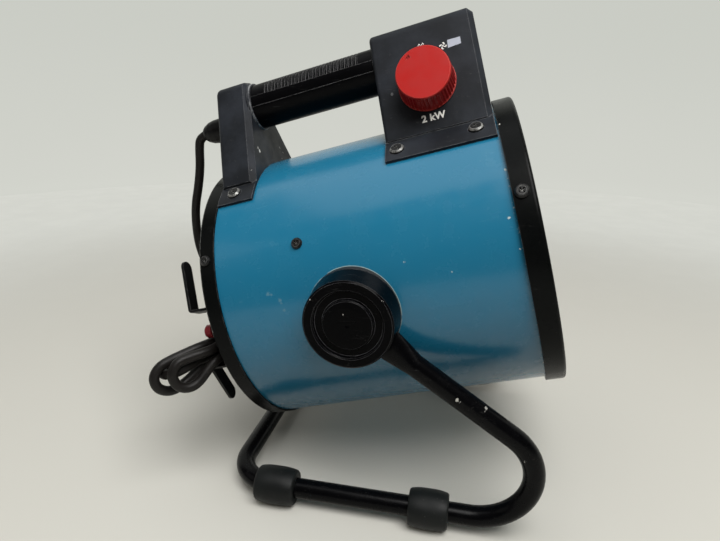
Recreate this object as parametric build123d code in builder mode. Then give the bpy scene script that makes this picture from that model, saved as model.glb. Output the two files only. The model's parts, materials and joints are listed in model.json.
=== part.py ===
from build123d import *
import os
from math import sin, cos, tan, asin, radians, degrees, hypot

os.makedirs("parts", exist_ok=True)

# ------------------------------------------------------------------ sizes, mm
# Overall stance: +X is the outlet side, +Z up, the floor is z = 0.
X_PIV = 0.75           # pivot station along X in the part's frame
H_PIV = 164.0          # pivot axis above the floor
TILT = 15.8            # nose-up tilt of the drum at rest, degrees
XP = -10.8             # pivot station along the drum axis, from its middle

# Drum
R_SHELL = 106.6        # blue shell, outside radius
T_SHELL = 1.0
X_REAR = -117.3        # rear end of the drum
X_FRONT = 117.3        # front end of the drum
R_RING = 108.0         # black rear ring, outside radius
R_RING_F = 109.5       # black front ring, outside radius
T_RING = 1.2
W_RING_F = 14.2
W_RING_R = 12.1
R_LINER = 96.0

# Stand tube
D_TUBE = 15.0
T_TUBE = 1.5
H_RUN = 14.0           # axis of the floor runs above the floor
X_BEND_F = 215.0       # virtual corner of leg and floor run, from the pivot
X_BEND_R = -96.8       # axis of the rear cross-run, from the pivot
R_BEND_F = 40.3
R_BEND_R = 32.7
Y_RUN = 104.0          # floor runs, off the middle plane
Y_LEG = 112.6          # leg axis where the round tube starts
Y_PLATE = 111.2        # middle of the flattened leg end
T_PLATE = 4.0
W_PLATE = 24.4
S_ROUND = 52.0         # where the leg is fully round, from the pivot

# Sleeves on the floor runs
SLEEVE_X = (-59.7, 57.2)
SLEEVE_L = (30.6, 29.0)
SLEEVE_R = 14.25
SLEEVE_R_END = 12.9

# Switch box (drum frame)
BX0, BX1 = 25.8, 101.9
BOX_Y, BOX_Z = 43.6, 101.0     # lower corner of the sloping face
BOX_SLOPE = 23.7               # face leans in by this many degrees
BOX_TOP = 176.2
KNOB_X = 62.3

# Handle
Z_GRIP = 152.3
R_GRIP = 17.0          # upper half; the lower half stands a little proud of it
R_GRIP_LOW = 17.35
GX0, GX1 = -74.8, 25.7

# Rear post (drum frame)
PX0, PX1 = -104.6, -76.3

# Mains cord
D_CORD = 7.5

# ------------------------------------------------------------------ frames
DRUM = Location((X_PIV, 0, H_PIV), (0, -TILT, 0)) * Location((-XP, 0, 0))


def drum(p):
    """A plane given in the drum's own frame, as it stands in the part."""
    return Plane(DRUM * p.location)


def dpt(x, y, z):
    """A point given in the drum's frame."""
    return (DRUM * Location((x, y, z))).position


def to_drum(v):
    """A point of the part, in the drum's frame."""
    a = radians(TILT)
    dx, dz = v.X - X_PIV, v.Z - H_PIV
    return (XP + dx * cos(a) + dz * sin(a), v.Y, -dx * sin(a) + dz * cos(a))


AX = Axis(dpt(0, 0, 0), dpt(1, 0, 0) - dpt(0, 0, 0))          # drum axis
PIVOT = Axis((X_PIV, 0, H_PIV), (0, 1, 0))                    # tilt axis
SIDE = drum(Plane.XZ)                                         # (x, z) of the drum
TOP = Plane(origin=(X_PIV, 0, H_PIV), x_dir=(1, 0, 0), z_dir=(0, 0, 1))


def radial(x, deg, r):
    """Plane at radius r, looking outwards; deg is measured from -Y up over +Z."""
    a = radians(deg)
    out = (0, -cos(a), sin(a))
    return drum(Plane(origin=(x, r * out[1], r * out[2]), x_dir=(1, 0, 0), z_dir=out))


def save(part, name):
    part.label = name
    export_step(part, "parts/" + name + ".step")


def screw_group(places, r_seat, r_head, t_head, r_shank, length):
    """Pan-head screws that stand radially on the drum: (x, degrees) each."""
    with BuildPart() as group:
        for x, deg in places:
            with BuildSketch(radial(x, deg, r_seat)):
                Circle(r_head)
            extrude(amount=t_head * 0.45)
            with BuildSketch(radial(x, deg, r_seat + t_head * 0.45)):
                Circle(r_head)
            extrude(amount=t_head * 0.55, taper=38)
            with BuildSketch(radial(x, deg, r_seat + 0.02)):
                Circle(r_shank)
            extrude(amount=-length)
            # cross recess
            with BuildSketch(radial(x, deg, r_seat + t_head)):
                Rectangle(r_head * 0.95, 0.9, rotation=35)
                Rectangle(0.9, r_head * 0.95, rotation=35)
            extrude(amount=-t_head * 0.6, mode=Mode.SUBTRACT)
    return group


def screw_holes(places, r_out, r_hole, depth):
    for x, deg in places:
        with BuildSketch(radial(x, deg, r_out), mode=Mode.PRIVATE) as bore:
            Circle(r_hole)
        extrude(bore.sketch, amount=-depth, mode=Mode.SUBTRACT)


FRONT_SCREWS = [(109.0, 30), (109.0, 150), (109.0, 270)]
REAR_SCREWS = [(-111.9, 30), (-111.9, 150), (-111.9, 270)]
SIDE_SCREWS = [(-41.1, 29.4), (-41.1, 150.6), (-41.1, 270)]
BOX_SCREWS = [(34.4, 60.5), (89.3, 61.5), (34.4, 119.5), (89.3, 118.5)]
POST_SCREWS = [(-92.4, 58.7), (-92.4, 121.3)]

# ================================================================== stand
LEG_LEN = hypot(X_BEND_F, H_PIV - H_RUN)
LEG = (X_BEND_F / LEG_LEN, (H_RUN - H_PIV) / LEG_LEN)          # leg direction (x, z)


def leg_pt(s, y):
    return (X_PIV + LEG[0] * s, y, H_PIV + LEG[1] * s)


P1 = leg_pt(S_ROUND, -Y_LEG)
P2 = (X_PIV + X_BEND_F, -Y_RUN, H_RUN)
P3 = (X_PIV + X_BEND_R, -Y_RUN, H_RUN)
P4 = (X_PIV + X_BEND_R, Y_RUN, H_RUN)
P5 = (X_PIV + X_BEND_F, Y_RUN, H_RUN)
P6 = leg_pt(S_ROUND, Y_LEG)
TUBE_PTS = [P1, P2, P3, P4, P5, P6]
TUBE_RADII = [R_BEND_F, R_BEND_R, R_BEND_R, R_BEND_F]
START = Plane(origin=P1, x_dir=(0, 1, 0), z_dir=Vector(*P2) - Vector(*P1))

with BuildPart() as stand_tube:
    with BuildLine() as run:
        FilletPolyline(*TUBE_PTS, radius=TUBE_RADII)
    with BuildSketch(START):
        Circle(D_TUBE / 2)
        Circle(D_TUBE / 2 - T_TUBE, mode=Mode.SUBTRACT)
    sweep(path=run.wire())
    for side in (-1, 1):
        # pressed transition from round to flat
        for s, y, a, b in ((S_ROUND, Y_LEG, 7.5, 7.5), (37.0, 112.1, 10.4, 4.6), (23.0, Y_PLATE, 12.2, 2.0)):
            d = Vector(LEG[0], 0, LEG[1])
            if s == S_ROUND:
                d = Vector(*P1) - Vector(*P2)
                d = Vector(-d.X, -d.Y * -side * -1, -d.Z) if side > 0 else Vector(-d.X, -d.Y, -d.Z)
            with BuildSketch(Plane(origin=leg_pt(s, side * y), x_dir=(LEG[1], 0, -LEG[0]), z_dir=d)):
                if a == b:
                    Circle(a)
                else:
                    Ellipse(a, b)
        loft()
        # flat eye round the pivot
        with BuildSketch(Plane(origin=(X_PIV, side * Y_PLATE, H_PIV), x_dir=(LEG[0], 0, LEG[1]), z_dir=(0, 1, 0))):
            Circle(W_PLATE / 2)
            with Locations((13.0, 0)):
                Rectangle(26.0, W_PLATE - 0.4)
        extrude(amount=T_PLATE / 2, both=True)
    # pivot bore, through both eyes
    with BuildSketch(Plane(origin=(X_PIV, 0, H_PIV), x_dir=(1, 0, 0), z_dir=(0, 1, 0))):
        Circle(4.06)
    extrude(amount=130, both=True, mode=Mode.SUBTRACT)
save(stand_tube.part, "stand_tube")

# The room that the tube takes, for the bores of the sleeves
with BuildPart() as tube_room:
    with BuildLine() as run2:
        FilletPolyline(*TUBE_PTS, radius=TUBE_RADII)
    with BuildSketch(START):
        Circle(D_TUBE / 2 + 0.08)
    sweep(path=run2.wire())

for x_s, l_s, along in ((SLEEVE_X[0], SLEEVE_L[0], "rear"), (SLEEVE_X[1], SLEEVE_L[1], "front")):
    for side, where in ((-1, "near"), (1, "far")):
        with BuildPart() as sleeve:
            with BuildSketch(Plane(origin=(X_PIV + x_s, side * Y_RUN, H_RUN), x_dir=(1, 0, 0), z_dir=(0, -1, 0))):
                with BuildLine():
                    h = l_s / 2
                    Line((-h, 0), (-h, SLEEVE_R_END - 1.0))
                    Line((-h, SLEEVE_R_END - 1.0), (-h + 1.0, SLEEVE_R_END))
                    Spline((-h + 1.0, SLEEVE_R_END), (-h * 0.5, SLEEVE_R - 0.2), (0, SLEEVE_R), (h * 0.5, SLEEVE_R - 0.2), (h - 1.0, SLEEVE_R_END))
                    Line((h - 1.0, SLEEVE_R_END), (h, SLEEVE_R_END - 1.0))
                    Line((h, SLEEVE_R_END - 1.0), (h, 0))
                    Line((h, 0), (-h, 0))
                make_face()
            revolve(axis=Axis((X_PIV, side * Y_RUN, H_RUN), (1, 0, 0)))
            # the flat that it stands on
            with BuildSketch(Plane.XY):
                with Locations((X_PIV + x_s, side * Y_RUN)):
                    Rectangle(60, 60)
            extrude(amount=-5, mode=Mode.SUBTRACT)
            add(tube_room.part, mode=Mode.SUBTRACT)
        save(sleeve.part, "foot_sleeve_" + along + "_" + where)

# ------------------------------------------------------------------ hub caps
CAP_FACE = 127.2
for side, where in ((-1, "near"), (1, "far")):
    s = side
    with BuildPart() as cap:
        with BuildSketch(TOP):
            with BuildLine():
                Polyline(
                    (0, s * 127.5), (12.0, s * 127.4), (16.2, s * 127.0), (17.0, s * 126.2), (17.4, s * 123.9),
                    (22.4, s * 123.9), (22.9, s * 126.4), (23.8, s * CAP_FACE), (28.9, s * CAP_FACE),
                    (30.0, s * 126.1), (31.8, s * 107.8), (29.6, s * 107.8), (28.0, s * 121.4),
                    (15.6, s * 121.4), (15.4, s * 113.25), (13.4, s * 113.25), (13.4, s * 121.4), (0, s * 121.4), close=True)
            make_face()
        revolve(axis=PIVOT)
        # mouth in the skirt where the leg comes out
        with BuildSketch(Plane(origin=(X_PIV, s * 106.0, H_PIV), x_dir=(LEG[0], 0, LEG[1]), z_dir=(0, s, 0))):
            with Locations((31.5, 0)):
                Rectangle(19.0, W_PLATE + 1.2)
        extrude(amount=13.2, mode=Mode.SUBTRACT)
    save(cap.part, "hub_cap_" + where)

with BuildPart() as friction_washers:
    for s in (-1, 1):
        with BuildSketch(Plane(origin=(X_PIV, s * 108.45, H_PIV), x_dir=(1, 0, 0), z_dir=(0, s, 0))):
            Circle(11.0)
            Circle(4.3, mode=Mode.SUBTRACT)
        extrude(amount=0.75)
save(friction_washers.part, "friction_washers")

# ================================================================== drum
# ------------------------------------------------------------------ shell
with BuildPart() as drum_shell:
    with BuildSketch(SIDE):
        with Locations(((X_REAR + X_FRONT) / 2, R_SHELL - T_SHELL / 2)):
            Rectangle(X_FRONT - X_REAR - 2 * T_RING - 0.4, T_SHELL)
    revolve(axis=AX)
    screw_holes(FRONT_SCREWS + REAR_SCREWS + SIDE_SCREWS + BOX_SCREWS + POST_SCREWS, 112, 1.85, 14)
    # pivot bolts
    with BuildSketch(Plane(origin=(X_PIV, 0, H_PIV), x_dir=(1, 0, 0), z_dir=(0, 1, 0))):
        Circle(4.15)
    extrude(amount=125, both=True, mode=Mode.SUBTRACT)
    # opening under the terminal block
    with BuildSketch(radial(38.0, 90, 112)):
        Rectangle(16.6, 46.0)
    extrude(amount=-14, mode=Mode.SUBTRACT)
save(drum_shell.part, "drum_shell")

# ------------------------------------------------------------------ end rings
with BuildPart() as front_ring:
    with BuildSketch(SIDE) as prof:
        with BuildLine():
            Polyline((X_FRONT - W_RING_F, R_SHELL + 0.05), (X_FRONT - W_RING_F, R_RING_F), (X_FRONT, R_RING_F),
                     (X_FRONT, 100.0), (X_FRONT - T_RING, 100.0), (X_FRONT - T_RING, R_RING_F - 1.4),
                     (X_FRONT - W_RING_F + 1.4, R_RING_F - 1.4), (X_FRONT - W_RING_F + 1.4, R_SHELL + 0.05), close=True)
        make_face()
        fillet(prof.vertices().sort_by_distance(Vector(X_FRONT, R_RING_F, 0))[0], 2.4)
    revolve(axis=AX)
    screw_holes(FRONT_SCREWS, 112, 1.85, 8)
save(front_ring.part, "front_ring")

with BuildPart() as rear_ring:
    with BuildSketch(SIDE) as prof:
        with BuildLine():
            Polyline((X_REAR + W_RING_R, R_SHELL + 0.05), (X_REAR + W_RING_R, R_RING), (X_REAR, R_RING),
                     (X_REAR, 101.0), (X_REAR + T_RING, 101.0), (X_REAR + T_RING, R_SHELL + 0.05), close=True)
        make_face()
        fillet(prof.vertices().sort_by_distance(Vector(X_REAR, R_RING, 0))[0], 1.6)
    revolve(axis=AX)
    screw_holes(REAR_SCREWS, 112, 1.85, 8)
save(rear_ring.part, "rear_ring")

front_ring_screws = screw_group(FRONT_SCREWS, R_RING_F + 0.02, 4.7, 2.5, 1.75, 7.4)
save(front_ring_screws.part, "front_ring_screws")
rear_ring_screws = screw_group(REAR_SCREWS, R_RING + 0.02, 3.9, 2.3, 1.75, 5.0)
save(rear_ring_screws.part, "rear_ring_screws")
drum_side_screws = screw_group(SIDE_SCREWS, R_SHELL + 0.05, 3.9, 2.3, 1.75, 5.0)
save(drum_side_screws.part, "drum_side_screws")

# ------------------------------------------------------------------ outlet grille
with BuildPart() as front_grille:
    for r in (5.0, 15.0, 26.0, 37.0, 48.0, 59.0, 70.0, 81.0, 92.0, 103.0):
        with BuildSketch(SIDE):
            with Locations((114.35, r)):
                Circle(1.5)
        revolve(axis=AX)
    for k in range(6):
        a = radians(60 * k)
        out = (0, cos(a), sin(a))
        with BuildSketch(drum(Plane(origin=(111.4, 4.1 * out[1], 4.1 * out[2]), x_dir=(1, 0, 0), z_dir=out))):
            Circle(1.9)
        extrude(amount=100.5)
save(front_grille.part, "front_grille")

# ------------------------------------------------------------------ inlet guard
with BuildPart() as rear_guard:
    with BuildSketch(drum(Plane.YZ.offset(-116.0))):
        Circle(105.3)
        Circle(99.6, mode=Mode.SUBTRACT)
        for r in (24.0, 34.5, 45.0, 55.5, 66.0, 76.5, 87.0):
            with BuildSketch(mode=Mode.PRIVATE) as hoop:
                Circle(r + 1.7)
                Circle(r - 1.7, mode=Mode.SUBTRACT)
            add(hoop.sketch)
        Circle(17.0)
        with PolarLocations(51.0, 8, start_angle=22.5):
            Rectangle(101.0, 6.0)
        for y0 in (-1, 1):
            with BuildSketch(mode=Mode.PRIVATE) as pad:
                Circle(104.0)
                with Locations((y0 * 89.0, -4.0)):
                    Rectangle(27.0, 84.0, mode=Mode.INTERSECT)
            add(pad.sketch)
    extrude(amount=2.0)
    # seats of the hook rivets and of the cut-out, near side and far side
    for ys in (-1, 1):
        for cy, cz, ty, tz in ((-91.6, 16.7, 0.427, 0.904), (-85.8, -26.8, 0.342, -0.940)):
            py, pz = cy + 8.5 * ty, cz + 8.5 * tz
            with BuildSketch(drum(Plane(origin=(-120, -ys * py, pz), x_dir=(0, 1, 0), z_dir=(1, 0, 0)))):
                Circle(2.05)
            extrude(amount=10, mode=Mode.SUBTRACT)
    with BuildSketch(drum(Plane(origin=(-120, -86.0, -1.0), x_dir=(0, 1, 0), z_dir=(1, 0, 0)))):
        Circle(5.6)
    extrude(amount=10, mode=Mode.SUBTRACT)
save(rear_guard.part, "rear_guard")

# ------------------------------------------------------------------ heat shield
with BuildPart() as inner_liner:
    with BuildSketch(SIDE):
        with BuildLine():
            Polyline((-34.0, R_LINER - 0.8), (-34.0, R_LINER), (103.6, R_LINER), (103.6, 105.5), (113.4, 105.5),
                     (113.4, 104.7), (104.4, 104.7), (104.4, R_LINER - 0.8), close=True)
        make_face()
    revolve(axis=AX)
    screw_holes(FRONT_SCREWS, 107, 1.8, 5)
    # slot for the element tails
    with BuildSketch(radial(38.0, 90, 100)):
        Rectangle(16.6, 46.0)
    extrude(amount=-14, mode=Mode.SUBTRACT)
save(inner_liner.part, "inner_liner")

# ------------------------------------------------------------------ motor and fan
with BuildPart() as motor_bracket:
    with BuildSketch(drum(Plane.YZ.offset(-44.6))):
        Circle(35.0)
        for deg in (29.4, 150.6, 270):
            a = radians(deg)
            with Locations(Location((-cos(a) * 67.0, sin(a) * 67.0, 0), (0, 0, 180 - deg))):
                Rectangle(75.4, 14.0)
        Circle(12.0, mode=Mode.SUBTRACT)
    extrude(amount=1.6)
    for deg in (29.4, 150.6, 270):
        with BuildSketch(radial(-40.3, deg, 102.6)):
            Rectangle(8.6, 14.0)
        extrude(amount=6.0)
    with BuildSketch(SIDE):
        with Locations((-40.0, 115.55)):
            Rectangle(20.0, 20.0)
    revolve(axis=AX, mode=Mode.SUBTRACT)
    screw_holes(SIDE_SCREWS, 112, 1.8, 14)
save(motor_bracket.part, "motor_bracket")

with BuildPart() as motor:
    with BuildSketch(SIDE):
        with BuildLine():
            Polyline((-98.0, 0), (-98.0, 11.0), (-94.0, 14.0), (-90.0, 27.0), (-86.0, 31.0), (-52.0, 31.0),
                     (-48.5, 28.0), (-44.65, 27.0), (-44.65, 3.06), (-62.0, 3.06), (-62.0, 0), close=True)
        make_face()
    revolve(axis=AX)
    # cooling slots round the rear bell
    with BuildSketch(drum(Plane.YZ.offset(-100.0))):
        with PolarLocations(21.0, 8):
            SlotOverall(9.0, 3.0)
    extrude(amount=12.0, mode=Mode.SUBTRACT)
save(motor.part, "motor")

with BuildPart() as fan_shaft:
    with BuildSketch(drum(Plane.YZ.offset(-61.0))):
        Circle(3.0)
    extrude(amount=51.0)
save(fan_shaft.part, "fan_shaft")

with BuildPart() as blade:
    for r, chord, pitch, cx in ((13.0, 16.0, 52.0, -22.0), (88.0, 44.0, 24.0, -22.0)):
        with BuildSketch(drum(Plane(origin=(cx, 0, r), x_dir=(1, 0, 0), z_dir=(0, 0, 1)))):
            Rectangle(1.6, chord, rotation=pitch - 0.0)
    loft(ruled=True)

with BuildPart() as fan_rotor:
    with BuildSketch(SIDE):
        with BuildLine():
            Polyline((-34.0, 3.02), (-34.0, 14.0), (-31.0, 16.0), (-13.0, 16.0), (-10.5, 13.0), (-10.0, 3.02), close=True)
        make_face()
    revolve(axis=AX)
    for k in range(6):
        add(blade.part.rotate(AX, 60 * k))
save(fan_rotor.part, "fan_rotor")

# ------------------------------------------------------------------ heating elements
for name, r, x in (("heating_element_outer", 74.0, 34.0), ("heating_element_inner", 48.0, 42.0)):
    # an open ring of sheathed rod, its two tails turned up through the liner
    half = degrees(asin(18.0 / r))
    a = radians(half)
    with BuildPart() as element:
        with BuildSketch(drum(Plane(origin=(0, 0, 0), x_dir=(1, 0, 0), z_dir=(0, cos(a), sin(a))))):
            with Locations((x, -r)):
                Circle(3.25)
        revolve(axis=AX, revolution_arc=360 - 2 * half)
        for y in (-18.0, 18.0):
            with BuildSketch(drum(Plane(origin=(x, y, r * cos(a)), x_dir=(1, 0, 0), z_dir=(0, 0, 1)))):
                Circle(3.25)
            extrude(amount=112.0 - r * cos(a))
            with Locations(dpt(x, y, r * cos(a))):
                Sphere(3.25)
    save(element.part, name)
    print(name, round(element.part.volume), len(element.part.solids()))

with BuildPart() as element_frame:
    with BuildSketch(drum(Plane.YZ.offset(20.0))):
        Circle(26.0)
        Circle(24.4, mode=Mode.SUBTRACT)
    extrude(amount=36.0)
    for deg in (-30, 90, 210):
        a = radians(deg)
        with BuildSketch(drum(Plane(origin=(38.0, -25.2 * cos(a), -25.2 * sin(a)), x_dir=(1, 0, 0), z_dir=(0, -cos(a), -sin(a))))):
            Rectangle(36.0, 1.5)
        extrude(amount=69.8)
    for r, x in ((74.0, 34.0), (48.0, 42.0)):
        with BuildSketch(SIDE):
            with Locations((x, r)):
                Circle(3.7)
        revolve(axis=AX, mode=Mode.SUBTRACT)
save(element_frame.part, "element_frame")

with BuildPart() as terminal_block:
    with BuildSketch(radial(38.0, 90, 106.75)):
        RectangleRounded(17.6, 51.0, 2.0)
    extrude(amount=8.0)
    with BuildSketch(drum(Plane(origin=(38.0, 0, 100), x_dir=(1, 0, 0), z_dir=(0, 0, 1)))):
        with Locations((-4.0, 18.0), (-4.0, -18.0), (4.0, 18.0), (4.0, -18.0)):
            Circle(3.35)
    extrude(amount=20.0, mode=Mode.SUBTRACT)
save(terminal_block.part, "terminal_block")

with BuildPart() as thermal_cutout:
    with BuildSketch(radial(12.0, 100, R_LINER + 0.1)):
        Circle(7.5)
    extrude(amount=4.6)
    with BuildSketch(radial(12.0, 100, R_LINER + 4.7)):
        Rectangle(9.0, 11.0)
    extrude(amount=2.6)
save(thermal_cutout.part, "thermal_cutout")

# ------------------------------------------------------------------ pivot, on the drum
with BuildPart() as pivot_saddles:
    for s in (-1, 1):
        with BuildSketch(Plane(origin=(X_PIV, s * 98.0, H_PIV), x_dir=(1, 0, 0), z_dir=(0, s, 0))):
            Circle(25.0)
            Circle(4.05, mode=Mode.SUBTRACT)
        extrude(amount=10.2)
        # flange that closes the skirt of the hub cap
        with BuildSketch(Plane(origin=(X_PIV, s * 98.0, H_PIV), x_dir=(1, 0, 0), z_dir=(0, s, 0))):
            Circle(31.9)
            Circle(4.05, mode=Mode.SUBTRACT)
        extrude(amount=9.1)
    with BuildSketch(drum(Plane.YZ.offset(-60.0))):
        Circle(R_SHELL + 0.05)
    extrude(amount=120.0, mode=Mode.SUBTRACT)
save(pivot_saddles.part, "pivot_saddles")

with BuildPart() as pivot_nut_plates:
    with BuildSketch(drum(Plane.YZ.offset(XP - 14.0))):
        with BuildSketch(mode=Mode.PRIVATE) as plates:
            Circle(R_SHELL - T_SHELL - 0.05)
            with BuildSketch(mode=Mode.PRIVATE) as cut:
                with Locations((-102.0, 0), (102.0, 0)):
                    Rectangle(8.0, 26.0)
            add(cut.sketch, mode=Mode.INTERSECT)
        add(plates.sketch)
    extrude(amount=28.0)
    with BuildSketch(Plane(origin=(X_PIV, 0, H_PIV), x_dir=(1, 0, 0), z_dir=(0, 1, 0))):
        Circle(4.03)
    extrude(amount=125, both=True, mode=Mode.SUBTRACT)
save(pivot_nut_plates.part, "pivot_nut_plates")

with BuildPart() as pivot_bolts:
    for s in (-1, 1):
        with BuildSketch(Plane(origin=(X_PIV, s * 97.6, H_PIV), x_dir=(1, 0, 0), z_dir=(0, s, 0))):
            Circle(4.0)
        extrude(amount=17.0)
        with BuildSketch(Plane(origin=(X_PIV, s * 114.5, H_PIV), x_dir=(1, 0, 0), z_dir=(0, s, 0))):
            RegularPolygon(7.5, 6)
        extrude(amount=4.4)
save(pivot_bolts.part, "pivot_bolts")

with BuildPart() as pivot_washers:
    for s in (-1, 1):
        with BuildSketch(Plane(origin=(X_PIV, s * 113.4, H_PIV), x_dir=(1, 0, 0), z_dir=(0, s, 0))):
            Circle(9.0)
            Circle(4.1, mode=Mode.SUBTRACT)
        extrude(amount=1.08)
save(pivot_washers.part, "pivot_washers")

# ------------------------------------------------------------------ switch box
TOPY = BOX_Y - (BOX_TOP - BOX_Z) * tan(radians(BOX_SLOPE))


def box_outline(grow=0.0):
    with BuildSketch(Plane.XY, mode=Mode.PRIVATE) as o:
        with BuildLine():
            Polyline((-BOX_Y, BOX_Z), (-TOPY, BOX_TOP), (TOPY, BOX_TOP), (BOX_Y, BOX_Z), (36.0, 84.0), (-36.0, 84.0), close=True)
        make_face()
        if grow:
            offset(amount=grow, kind=Kind.INTERSECTION)
    return o.sketch


def face_plane(x, side, up=0.0, t=0.0):
    """Plane on the sloping face of the box: side -1 near, 1 far; up the slope, t above it."""
    a = radians(BOX_SLOPE)
    n = (0, side * cos(a), sin(a))
    v = (0, -side * sin(a), cos(a))
    o = (x, side * BOX_Y + v[1] * up + n[1] * t, BOX_Z + v[2] * up + n[2] * t)
    return drum(Plane(origin=o, x_dir=(1, 0, 0), z_dir=n))


KNOB_UP = 34.6         # knob centre up the face from its lower corner

with BuildPart() as switch_box:
    with BuildSketch(drum(Plane.YZ.offset(BX0))):
        add(box_outline())
    extrude(amount=BX1 - BX0)

    def crown(e):
        x, y, z = to_drum(e.center())
        return abs(abs(y) - TOPY) < 0.5 and z > BOX_TOP - 1
    fillet(switch_box.edges().filter_by(crown), 7.5)

    def rims(e):
        x, y, z = to_drum(e.center())
        return abs(x - BX1) < 0.1 and z > BOX_Z + 4
    chamfer(switch_box.edges().filter_by(rims), 3.8)

    def back_rims(e):
        x, y, z = to_drum(e.center())
        return abs(x - BX0) < 0.1 and z > BOX_Z + 4
    fillet(switch_box.edges().filter_by(back_rims), 2.5)
    # side flanges that follow the drum
    with BuildSketch(drum(Plane.YZ.offset(BX0))):
        with BuildLine():
            a0, a1 = radians(54.9), radians(125.1)
            ro, ri = 109.0, 104.0
            CenterArc((0, 0), ro, 54.9, 70.2)
            Line((ro * cos(a1), ro * sin(a1)), (ri * cos(a1), ri * sin(a1)))
            CenterArc((0, 0), ri, 125.1, -70.2)
            Line((ri * cos(a0), ri * sin(a0)), (ro * cos(a0), ro * sin(a0)))
        make_face()
    extrude(amount=BX1 - BX0)
    # hollow inside, open to the drum
    with BuildSketch(drum(Plane.YZ.offset(BX0 + 3.0))):
        add(box_outline(-3.0))
    extrude(amount=BX1 - BX0 - 6.0, mode=Mode.SUBTRACT)
    with BuildSketch(drum(Plane.YZ.offset(BX0 - 5))):
        Circle(R_SHELL + 0.05)
    extrude(amount=BX1 - BX0 + 10, mode=Mode.SUBTRACT)
    # bore for the handle tube
    with BuildSketch(drum(Plane.YZ.offset(BX0 - 5))):
        with Locations((0, Z_GRIP)):
            Circle(8.1)
    extrude(amount=12, mode=Mode.SUBTRACT)
    # spindle holes
    for side in (-1, 1):
        with BuildSketch(face_plane(KNOB_X, side, KNOB_UP, 2.0)):
            Circle(5.1)
        extrude(amount=-8, mode=Mode.SUBTRACT)
    screw_holes(BOX_SCREWS, 113, 1.85, 8)
    # flats for the screw heads
    for x, deg in BOX_SCREWS:
        with BuildSketch(radial(x, deg, 108.75)):
            Circle(5.7)
        extrude(amount=4, mode=Mode.SUBTRACT)
save(switch_box.part, "switch_box")

switch_box_screws = screw_group(BOX_SCREWS, 108.77, 5.1, 2.4, 1.75, 5.5)
save(switch_box_screws.part, "switch_box_screws")

# ------------------------------------------------------------------ switch and thermostat
for name, shaft_name, knob_name, side in (("rotary_switch", "switch_shaft", "switch_knob", -1),
                                           ("thermostat", "thermostat_shaft", "thermostat_knob", 1)):
    with BuildPart() as body:
        with BuildSketch(face_plane(KNOB_X, side, KNOB_UP, -3.1)):
            if side < 0:
                Rectangle(30.0, 27.0)
            else:
                Circle(14.0)
        extrude(amount=-16.0)
        with BuildSketch(face_plane(KNOB_X, side, KNOB_UP, -3.2)):
            Circle(5.0)
        extrude(amount=3.0)
        with BuildSketch(face_plane(KNOB_X, side, KNOB_UP, 1)):
            Circle(3.06)
        extrude(amount=-16.0, mode=Mode.SUBTRACT)
    save(body.part, name)
    with BuildPart() as shaft:
        with BuildSketch(face_plane(KNOB_X, side, KNOB_UP, -12.0)):
            Circle(3.0)
        extrude(amount=26.0)
    save(shaft.part, shaft_name)
    with BuildPart() as knob:
        n_rib = 44
        for t, r in ((1.4, 20.2), (16.9, 18.95)):
            with BuildSketch(face_plane(KNOB_X, side, KNOB_UP, t)):
                pts = []
                for k in range(n_rib * 2):
                    rr = r if k % 2 == 0 else r - 0.75
                    aa = radians(360.0 / (2 * n_rib) * k)
                    pts.append((rr * cos(aa), rr * sin(aa)))
                with BuildLine():
                    Polyline(*pts, close=True)
                make_face()
        loft(ruled=True)
        # smooth rim at the root and a dished cover at the top
        with BuildSketch(face_plane(KNOB_X, side, KNOB_UP, 0.6)):
            Circle(20.5)
        extrude(amount=0.9)
        with BuildSketch(face_plane(KNOB_X, side, KNOB_UP, 16.8)):
            Circle(19.0)
        extrude(amount=1.2)
        with BuildSketch(face_plane(KNOB_X, side, KNOB_UP, 18.0)):
            Circle(19.0)
        extrude(amount=0.8, taper=35)
        # hollow underneath, round a central hub
        with BuildSketch(face_plane(KNOB_X, side, KNOB_UP, 0.0)):
            Circle(16.5)
            Circle(6.5, mode=Mode.SUBTRACT)
        extrude(amount=14.5, mode=Mode.SUBTRACT)
        with BuildSketch(face_plane(KNOB_X, side, KNOB_UP, 0.0)):
            Circle(3.02)
        extrude(amount=14.2, mode=Mode.SUBTRACT)
        # pointer, a small wedge sunk in the cover
        with BuildSketch(face_plane(KNOB_X, side, KNOB_UP, 18.9)):
            ang = 122.0 if side < 0 else 90.0
            with Locations(Location((15.2 * cos(radians(ang)), 15.2 * sin(radians(ang)), 0), (0, 0, ang))):
                Triangle(a=3.0, b=4.2, c=4.2)
        extrude(amount=-0.7, mode=Mode.SUBTRACT)
    save(knob.part, knob_name)

# ------------------------------------------------------------------ handle
with BuildPart() as handle_tube:
    with BuildSketch(drum(Plane.YZ.offset(-94.0))):
        with Locations((0, Z_GRIP)):
            Circle(8.0)
            Circle(6.6, mode=Mode.SUBTRACT)
    extrude(amount=132.0)
save(handle_tube.part, "handle_tube")

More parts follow.
